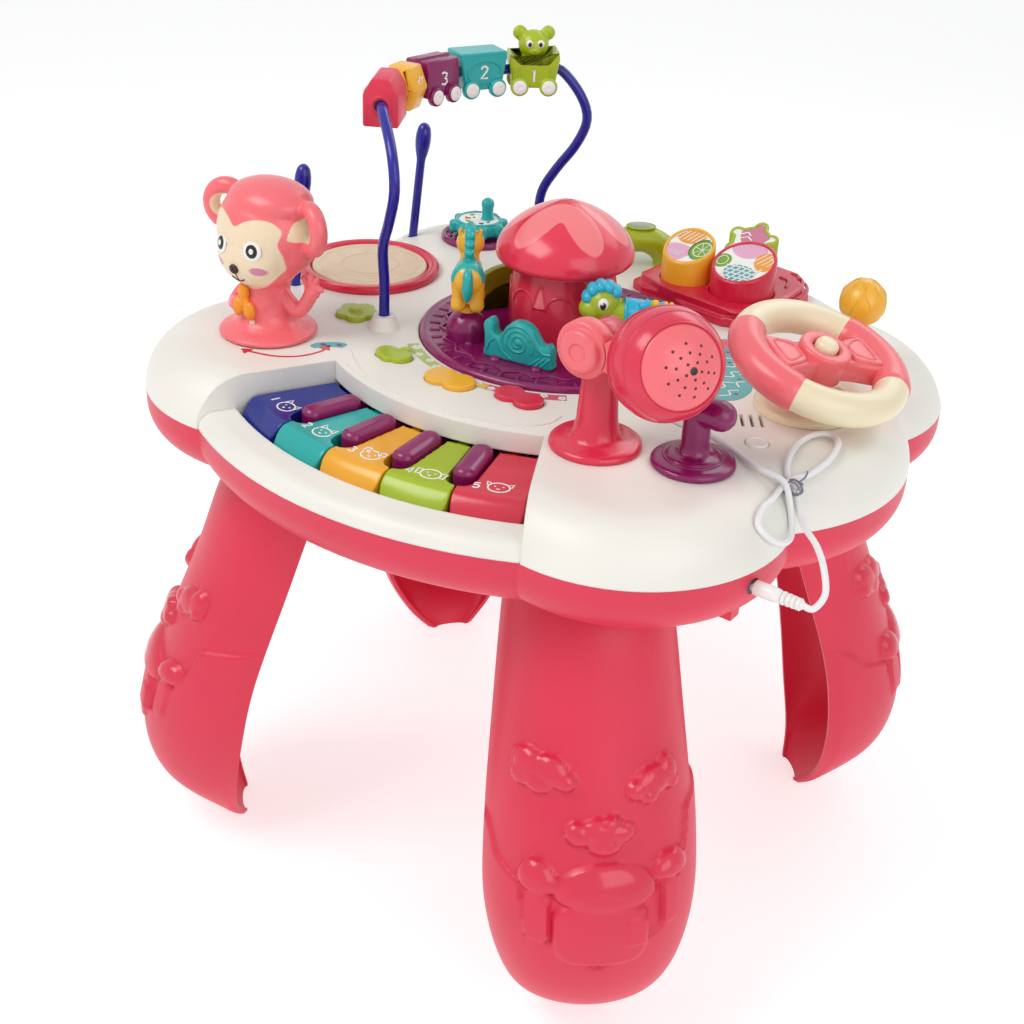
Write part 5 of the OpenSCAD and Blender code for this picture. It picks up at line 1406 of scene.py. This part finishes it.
block("round_piece", "round_block", BLOCKS[1], L, H, crimson_gloss, (
    ([printed(spot(-3.5, 11.5, 11.5, 7.5, wave=0.06), L, H, 1)], pink),
    ([printed(spot(12, 5, 7.5, 8.2, wave=0.05), L, H, 2)], peach),
    ([printed(spot(-13.5, -2.5, 5.4, 6.2), L, H, 1)], leaf),
    ([printed(spot(1.5, -9.5, 9.8, 7.4, wave=0.05), L, H, 2)], ocean),
    ([stroke(s, L, H, 4, 0.6) for s in hatch(6.5, 16.5, 1, 11, 4, 0.5)]
     + [stroke(s, L, H, 4, 0.9) for s in hatch(-6, 9, -17, -2, 5, 0.5)]
     + [stroke([(-9, -5 - 3.2 * k), (1, -4.2 - 3.2 * k), (12, -5 - 3.2 * k)], L, H, 4,
               0.8) for k in range(4)]
     + [stroke([(-13.5 + 3.2 * cos(t), -2.5 + 4 * sin(t)) for t in np.linspace(0, 2 * pi, 20)], L, H, 4,
               0.5)], print_white)))
L, H = star_line, 19.5
block("star_piece", "star_block", BLOCKS[2], L, H, lime_gloss, (
    ([printed(spot(0.5, 5, 10, 10.5, wave=0.07), L, H, 1, 1.9)], rose),
    ([printed(spot(9.5, -6.5, 7, 6.5), L, H, 2, 1.9)], ocean),
    ([stroke(s, L, H, 4, 0.6) for s in hatch(4.5, 10, -9, -2, 4, 0.3)]
     + [stroke([(-9, 2), (-5, 5.5), (-2, 3)], L, H, 4, 1.0), stroke([(-7, -1), (-3, 1.5), (1, -1)], L, H, 4,
                                                                    0.9)],
     print_white)))


# ---- steering wheel, horn and column ----

WHEEL = turn("Y", WHEEL_TILT)


def on_wheel(shape, spin=0.0):
    shape = move(shape, (0, 0, 0), turn("Z", spin)) if spin else shape
    return move(shape, (WHEEL_C[0], WHEEL_C[1], TOP + WHEEL_H), WHEEL)


def bow(a0, a1, r=39.9, n=40, z=0.0):
    return [(r * cos(radians(a0 + (a1 - a0) * k / n)), r * sin(radians(a0 + (a1 - a0) * k / n)), z)
            for k in range(n + 1)]


rim = lathe([(39.9 + 9.05 * cos(t), 9.05 * sin(t)) for t in np.linspace(0, 2 * pi, 41)[:-1]], 144,
            closed=True)
grips = merge(*[tube(bow(a0, a1), [9.2] + [9.9] * 39 + [9.2], 32) for a0, a1 in ((-161, -79), (21, 98))])
spoke = plate(soften([(-38, -17), (-14, -10), (14, -10), (38, -17), (38, 17), (14, 10), (-14, 10),
                      (-38, 17)], 4),
              [(1.6, -6), (0.4, -5.4), (0, -4.4), (0, 4.2), (0.5, 5.5), (1.8, 6.0)])
hub = lathe([(0, -7), (13, -7), (14, -6), (14, 8.6), (13.6, 9.6), (12.6, 10), (9.2, 10), (7.6, 9.4),
             (7.2, 8.4),
             (7.0, 5.6), (0, 5.6)], 64)
bows = merge(*[plate(soften([(14.6 * s, -8), (32 * s, -13), (32 * s, 13), (14.6 * s, 8)][::s], 4.5),
                     [(0, 5), (0, 6.9), (0.4, 7.5), (1.2, 7.7)]) for s in (1, -1)])
bow_lines = merge(*[tube([(s * x, y, 7.8) for x, y in catmull([(18, -4.6, 0), (27, -8.6, 0), (28.6, 0, 0),
                                                               (27, 8.6, 0), (18, 4.6, 0), (17, 0, 0),
                                                               (18, -4.6, 0)], 4)[:, :2]], 0.55, 8)
                    for s in (1, -1)])
make("drive_wheel", [
    (on_wheel(rim), cream_gloss), (on_wheel(grips), salmon_gloss),
    (on_wheel(merge(spoke, hub, bows, bow_lines), 60), salmon_gloss)],
    "steering_wheel", ("steering_wheel",), angle=50)
make("horn_dome", [(on_wheel(lathe(dome(6.2, 7.7, 3.6, 5.9, 0.3), 48)), cream_gloss)],
     "horn_button", ("horn_button",))
foot = lathe([(0, 0.2), (27.6, 0.2), (27.8, 1.2), (27.6, 2.6), (26.4, 4.4), (24.8, 5.0), (21, 5.2),
              (17, 6.2), (14.6, 8.4),
              (13.4, 9.6), (0, 9.6)], 96)
neck = lathe([(0, -33), (13, -33), (11.6, -22), (11, -14), (11, -7.4), (0, -7.4)], 64)
pin = lathe([(0, -10), (4, -10), (4, 1.8), (0, 1.8)], 32)
neck = on_wheel(neck)
neck = (np.stack([neck[0][:, 0], neck[0][:, 1], np.maximum(neck[0][:, 2], TOP + 0.3)], 1), neck[1])
make("column_of_wheel", [(merge(at(COLUMN_C, foot), neck, on_wheel(pin)), cream_gloss)],
     "table", ("wheel_column",), angle=50)

# ---- gear shift ----

egg = ball((0, 0, 0), (12.9, 12.9, 13.0), nu=48, nv=32)
ep = arr(egg[0])
ep += np.outer(np.maximum(0, ep @ np.array((0.5, -0.4, -0.6)) / 13) ** 2, np.array((0.4, -0.3, -0.5)))
diamonds = merge(*[tube([(12.95 * cos(e) * cos(a + s * 0.5 * e), 12.95 * cos(e) * sin(a + s * 0.5 * e),
                          13.05 * sin(e))
                         for e in np.linspace(-0.9, 1.25, 18)], 0.28, 6)
                   for a in np.arange(0, 2 * pi, pi / 4) for s in (-1, 1)])
lever_stem = lathe([(0, -12), (3.5, -12), (3.5, 22), (4.4, 24), (7.6, 29), (7.8, 31), (0, 31)], 48)
bar = move(lathe([(0, -9), (3, -9), (3, 9), (0, 9)], 32), (0, 0, -12), turn("X", 90))
make("shift_ball", [
    (at(SHIFT_C, merge((ep, egg[1]), diamonds), TOP + 38), gold_gloss),
    (at(SHIFT_C, merge(lever_stem, bar)), gold_gloss)],
    "shift_lever", ("shift_lever",), angle=60)

# ---- microphone ----

post = lathe([(0, 0.3), (23.4, 0.3), (23.6, 1.2), (23.2, 2.8), (21.8, 3.9), (20.2, 4.2), (15, 4.6),
              (12.8, 6.4),
              (11.4, 9.5), (10.4, 16), (9.2, 34), (8.2, 52), (8.0, 57), (0, 57)], 96)
yoke = move(lathe([(4.2, -9), (8.8, -9), (9.5, -8.3), (9.5, 8.3), (8.8, 9), (4.2, 9)], 64, closed=True),
            (0, 0, MIC_H),
            turn("X", 90))
anchor = lathe([(0, -13), (6.9, -13), (6.9, 0.4), (0, 0.4)], 40)
make("mic_stand", [(at(MIC_C, merge(post, yoke, anchor)), coral_gloss)], "mic_post", ("mic_post",),
     angle=50)

FACE_AZ, FACE_EL = radians(-36), radians(18)
FACE_N = np.array((cos(FACE_AZ) * cos(FACE_EL), sin(FACE_AZ) * cos(FACE_EL), sin(FACE_EL)))
FACE_X = np.array((-sin(FACE_AZ), cos(FACE_AZ), 0.0))
FACE_Y = np.cross(FACE_N, FACE_X)
BULB = (40.2, -8.4, 1.7)


def on_mic(shape):
    return move(shape, (MIC_C[0], MIC_C[1], TOP + MIC_H))


def on_bulb(shape):
    return on_mic(frame_on(shape, BULB, FACE_X, FACE_Y))


shell = [(0, -27.25)]
for t in np.linspace(3, 129, 43):
    z = -27.25 * cos(radians(t))
    r = 27.25 * sin(radians(t))
    step = 0.45 if -8 < z < 1 else 0.0
    shell.append((r - step, z))
shell += [(21.1, 17.2), (20.95, 17.9), (20.5, 18.2), (20.0, 17.6), (19.4, 16.4), (0, 16.4)]
bulb = lathe(shell, 128)
band_lines = merge(*[lathe([(r + 0.42 * cos(t), z + 0.42 * sin(t)) for t in np.linspace(0, 2 * pi, 9)[:-1]],
                           128, closed=True)
                     for r, z in ((26.0, -8), (27.15, 1.4), (25.2, 10.2))])
grille = lathe([(0, 16)] + [(19.9, 16), (19.8, 17.5)]
               + [(33.9 * sin(t), 24.2 - 33.9 + 33.9 * cos(t)) for t in np.linspace(0.615, 0.02, 20)] + [(0,
                   24.2)], 96)
HOLES = ((0.7, 11.4), (8.3, 9.7), (-6.0, 8.2), (2.0, 7.2), (7.0, 6.1), (13.8, 4.2), (-2.7, 5.2),
         (10.6, 2.3), (5.4, 2.5),
         (0.5, 2.0), (-9.6, 1.5), (-5.1, 0.6), (7.6, -1.9), (11.4, -2.7), (14.9, -3.4), (-0.4, -2.8),
         (-4.4, -4.5),
         (4.2, -5.3), (8.9, -7.2), (-8.6, -6.0), (-0.8, -8.3), (4.6, -9.3), (11.6, -10.2), (-3.2, -11.8),
         (4.5, -13.4))


def pit(x, y, r, h=0.12):
    z = 24.2 - 33.9 + sqrt(33.9 ** 2 - x * x - y * y)
    up = np.array((x, y, z - 24.2 + 33.9)) / 33.9
    side = np.cross((0, 1, 0), up)
    return frame_on(lathe([(0, -0.6), (r, -0.6), (r, h * 0.5), (r * 0.8, h), (0, h * 0.6)], 20), (x, y, z),
                    side,
                    np.cross(up, side))


knuckle = move(lathe([(0, 9.4), (13.6, 9.4), (14.4, 10.2), (14.5, 12), (14.5, 17.8), (13.9, 18.9),
                      (12.8, 19.3), (11.6, 19.1),
                      (11.0, 19.6), (10.8, 21.6), (9.6, 22.8), (8, 23.0), (4.6, 22.8), (4.2, 22.0),
                      (3.0, 21.9), (0, 22.1)],
                     72), (0, 0, 0), turn("X", 90))
axis_pin = move(lathe([(0, -8.9), (3.9, -8.9), (3.9, 10), (0, 10)], 32), (0, 0, 0), turn("X", 90))
arm_line = soften([(0, -8), (14, -7.2), (26, -11.5), (32, -12), (32, 12), (26, 11.5), (14, 7.2), (0, 8)], 4)
arm = plate(arm_line, [(1.4, -9.3), (0.3, -9.0), (0, -7.8), (0, -1.4), (0.5, -0.4), (1.8, 0)])
arm = (np.stack([arr(arm[0])[:, 0], -9.6 + arr(arm[0])[:, 2], arr(arm[0])[:, 1]], 1), arm[1])
make("mic_bulb", [
    (merge(on_bulb(merge(bulb, band_lines))), coral_gloss),
    (merge(on_bulb(grille), on_mic(merge(knuckle, axis_pin, arm))), salmon_gloss),
    # the dark red discs are painted shade in the grille's holes
    (on_bulb(merge(*[pit(x, y, 0.72) for x, y in HOLES])), moulded("painted_shade_in_grille_holes", "#5A1020", 0.5, 0.8,
                                                                   0.01)),
    (on_bulb(pit(3.4, -1.2, 1.9, 0.2)), print_and_shade_black)],
    "mic_head", ("mic_head",), angle=50)

# ---- tap lever ----

tap = fuse(merge(
    lathe([(0, 0.4), (21.1, 0.4), (21.3, 1.4), (20.8, 3.0), (19.2, 4.1), (17, 4.4), (14.4, 4.8),
           (13.6, 6.0), (12.2, 6.7),
           (9, 7.0), (7.6, 8.6), (7, 11), (6.9, 26), (0, 26)], 96),
    ball((0, 0, 28.6), (7.1, 7.1, 7.1)), tube([(0, 0, 29), (6, 0, 30), (12.4, 0, 30)], [6.9, 7.2, 7.7],
                                              24)), 0.6, 4)
tap_lines = merge(lathe([(14.9 + 0.5 * cos(t), 4.9 + 0.5 * sin(t)) for t in np.linspace(0, 2 * pi, 9)[:-1]],
                        96, closed=True))
tap_root = lathe([(0, -13), (5.9, -13), (5.9, 0.8), (0, 0.8)], 40)
make("tap_handle", [(at(TAP_C, merge(tap, tap_lines, tap_root)), plum_gloss)], "tap_lever", ("tap_lever",),
     angle=60)

# ---- push buttons ----

for node_name, mat, slot_name in (("apple_button", lime_gloss, "lime_plastic"),
                                  ("yellow_button", gold_gloss, "yellow_plastic"),
                                  ("cherry_button", coral_gloss, "coral_plastic"),
                                  ("flower_button", lime_gloss, "lime_plastic")):
    skin = fuse(solid_of(node_name), 0.5, 6)
    make("cap_of_" + node_name, [(skin, mat)], node_name, (node_name,), angle=60)
POWER_C = tuple(solid_of("power_button")[0][:, :2].max(0) / 2 + solid_of("power_button")[0][:,
    :2].min(0) / 2)
power = lathe([(0, -3.4), (6.9, -3.4), (6.9, -2.2), (5.9, -2.2), (5.9, 0.6), (5.5, 1.2), (4.4, 1.4),
               (3.9, 1.0), (3.2, 0.8),
               (0, 1.1)], 48)
make("switch_cap", [(at(POWER_C, power), white_gloss),
                    ],
     "power_button", ("power_button",))

# ---- printed labels and raised lines on the cover ----


def band_of(points, half, z0=0.04, z1=0.1, n=6):
    line = catmull([(*p, 0) for p in points], n)[:, :2]
    return at((0, 0), ribbon(line, 2 * half, z1 - z0, z0))


def sector(r0, r1, a0, a1, z0=0.05, z1=0.12, n=60):
    rows = []
    for k in range(n + 1):
        t = radians(a0 + (a1 - a0) * k / n)
        rows.append([(CAR_C[0] + r * cos(t), CAR_C[1] + r * sin(t), TOP + z)
                     for r, z in ((r0, z0), (r1, z0), (r1, z1), (r0, z1))])
    return rings(rows)


def blossom(x, y, r, z=0.13):
    petals = [splash(spot(x + r * cos(t), y + r * sin(t), r * 0.72, r * 0.72, 14), z, 0.05)
              for t in np.arange(0.3, 6.5, 2 * pi / 5)]
    return at((0, 0), merge(*petals))


grass = moulded("label_green", "#B4CB72", 0.4, 0.8, 0.01)
sun = moulded("label_yellow", "#E9C468", 0.4, 0.8, 0.01)
berry = moulded("label_red", "#D96A7E", 0.4, 0.8, 0.01)
teal_label = moulded("label_teal", "#63B7BC", 0.4, 0.8, 0.01)
plum_label = moulded("label_plum", "#8A3F86", 0.4, 0.8, 0.01)
flowers = []
for k, a in enumerate(np.arange(-125, -54, 6.4)):
    r = 86.4 + (0.9 if k % 2 else -0.9)
    flowers.append(blossom(CAR_C[0] + r * cos(radians(a)), CAR_C[1] + r * sin(radians(a)),
                           1.35 + 0.35 * (k % 3 == 0)))
teal_line = closed_curve([(78, 66), (90, 57), (104, 42), (118, 24), (124, 10), (122, -4), (110, -10),
                          (100, -2), (98, 12),
                          (92, 28), (84, 42), (76, 56)], 5)
if sum(a[0] * b[1] - b[0] * a[1] for a, b in zip(teal_line, np.roll(teal_line, -1, 0))) < 0:
    teal_line = teal_line[::-1]
squiggles = [band_of(p, 0.5, 0.13, 0.17) for p in (
    ((113, -4), (117, 1), (114, 5), (118, 9)), ((106, 4), (110, 8), (106, 12), (111, 16)),
    ((116, 13), (112, 17), (115, 21)), ((103, 20), (107, 23), (103, 27), (107, 31)),
    ((97, 32), (101, 35), (98, 39)), ((108, 27), (110, 31)), ((91, 42), (95, 45), (91, 49)))]
small_spots = [at((0, 0), splash(spot(x, y, r, r * 0.8, 16, 0.1), 0.13, 0.05))
               for x, y, r in ((119, 4, 1.3), (104, 12, 1.2), (111, 22, 1.1), (96, 38, 1.2), (88, 50, 1.2),
                               (109, 2, 1.0))]
arrow_line = [(-115.2, -127.7), (-98.6, -122.8), (-88.1, -113.4), (-84.1, -102.0), (-84.9, -96.7)]
arrow = merge(band_of(arrow_line, 0.9), at((0, 0), plate([(-88.2, -98.6), (-81.0, -97.4), (-85.6, -91.6)],
                                                         [(0, 0.05), (0, 0.12)])),
              at((0, 0), plate([(-113.4, -123.6), (-119.2, -127.6), (-113.0, -131.4)],
                               [(0, 0.05), (0, 0.12)])))
note = [(-93.5, -99.5), (-89.5, -100.2), (-87, -95.5), (-82.4, -91.8), (-78.6, -89.6), (-79.4, -84.6),
        (-84.6, -85.2),
        (-89.6, -89.4), (-93.6, -94.4)]
note = closed_curve(note, 4)
make("cover_labels", [
    (sector(83.4, 89.8, -128.5, -108), grass), (sector(83.4, 89.8, -108, -82), sun),
    (sector(83.4, 89.8, -82, -53), berry), (merge(*flowers), print_white),
    (at((0, 0), splash(teal_line, 0.05, 0.07)), teal_label),
    (at((0, 0), splash(spot(82.5, 60, 6.4, 5.0, 24, 0.08), 0.125, 0.03)), salmon_gloss),
    (merge(*squiggles), print_white), (merge(*small_spots), plum_label),
    (arrow, crimson_gloss), (at((0, 0), splash(note, 0.05, 0.07)), teal_label),
    (at((0, 0), merge(splash(spot(-89, -93.5, 2.2, 1.6, 16, 0.1), 0.13, 0.04),
                      splash(spot(-82, -88.2, 1.8, 1.3, 16, 0.1), 0.13, 0.04))),
     plum_label)],
    "table", (), angle=30)

ridge_a = catmull([(-72.6, -89.8, 0), (-59.8, -99.8, 0), (-43, -109.4, 0), (-22.1, -116.3, 0),
                   (-3.4, -117.4, 0),
                   (23, -114.7, 0), (45, -107, 0), (56.8, -100.7, 0), (63.4, -91, 0), (63.3, -81.1, 0)], 8)
ridge_b = catmull([(-61.5, -105.1, 0), (-45.6, -111.7, 0), (-16.1, -119.8, 0), (11.9, -118.6, 0),
                   (35.2, -112.3, 0),
                   (57, -104.8, 0)], 8)
make("cover_ridges", [(at((0, 0), merge(tube(ridge_a, 0.75, 10, flat=0.8),
                                        tube(ridge_b, 0.6, 10, flat=0.8))), white_satin)],
     "table", (), angle=60)


# ---- solids kept as built, with their own finishes ----

def finish(name, mat):
    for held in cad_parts[name].material_slots:
        held.material = mat


KEPT = {"tray": tray_satin, "top_cover": white_satin, "service_door": coral_satin,
        "case_screws": steel_zinc,
        "main_board": board_green, "speaker": cream_gloss, "charge_jack": rubber_grey,
        "key_mat": rubber_grey}
for node_name, mat in KEPT.items():
    finish(node_name, mat)


# ---- floor and light ----

floor_mesh = bpy.data.meshes.new("floor")
floor_mesh.from_pydata([(-6, -6, 0), (6, -6, 0), (6, 6, 0), (-6, 6, 0)], [], [(0, 1, 2, 3)])
floor = bpy.data.objects.new("floor", floor_mesh)
bpy.context.scene.collection.objects.link(floor)
floor_mat = bpy.data.materials.new("floor_white")
floor_mat.use_nodes = True
tree = floor_mat.node_tree
shader = tree.nodes["Principled BSDF"]
shader.inputs["Base Color"].default_value = (0.62, 0.62, 0.62, 1)
shader.inputs["Roughness"].default_value = 0.6
shader.inputs["Specular IOR Level"].default_value = 0.2
shader.inputs["Emission Color"].default_value = (1, 1, 1, 1)
shader.inputs["Emission Strength"].default_value = 0.62
floor_mesh.materials.append(floor_mat)

world = bpy.data.worlds.new("studio")
bpy.context.scene.world = world
world.use_nodes = True
tree = world.node_tree
tree.nodes.clear()
out = tree.nodes.new("ShaderNodeOutputWorld")
seen = tree.nodes.new("ShaderNodeBackground")
seen.inputs["Color"].default_value = (1, 1, 1, 1)
seen.inputs["Strength"].default_value = 1.0
given = tree.nodes.new("ShaderNodeBackground")
given.inputs["Color"].default_value = (0.96, 0.98, 1, 1)
given.inputs["Strength"].default_value = 0.42
path = tree.nodes.new("ShaderNodeLightPath")
either = tree.nodes.new("ShaderNodeMath")
either.operation = "ADD"
either.use_clamp = True
third = tree.nodes.new("ShaderNodeMath")
third.operation = "ADD"
third.use_clamp = True
mix = tree.nodes.new("ShaderNodeMixShader")
tree.links.new(path.outputs["Is Camera Ray"], either.inputs[0])
tree.links.new(path.outputs["Is Glossy Ray"], either.inputs[1])
tree.links.new(either.outputs[0], third.inputs[0])
tree.links.new(path.outputs["Is Transmission Ray"], third.inputs[1])
tree.links.new(third.outputs[0], mix.inputs[0])
tree.links.new(given.outputs[0], mix.inputs[1])
tree.links.new(seen.outputs[0], mix.inputs[2])
tree.links.new(mix.outputs[0], out.inputs[0])


def lamp(name, at_mm, look_mm, size, watts, tint=(1, 1, 1)):
    data = bpy.data.lights.new(name, "AREA")
    data.shape = "RECTANGLE"
    data.size, data.size_y = size
    data.energy = watts
    data.color = tint
    obj = bpy.data.objects.new(name, data)
    bpy.context.scene.collection.objects.link(obj)
    obj.location = Vector(at_mm) * MM
    obj.rotation_euler = (Vector(look_mm) - Vector(at_mm)).to_track_quat("-Z", "Y").to_euler()


lamp("key_light", (-500, -900, 1500), (0, 0, 300), (0.9, 0.7), 11.6, (1.0, 0.985, 0.96))
lamp("fill_light", (1200, -500, 900), (0, 0, 300), (1.0, 1.0), 5.4)
lamp("back_light", (200, 1200, 1300), (0, 0, 300), (1.4, 0.6), 5.0)

bpy.context.scene.view_settings.view_transform = "Standard"
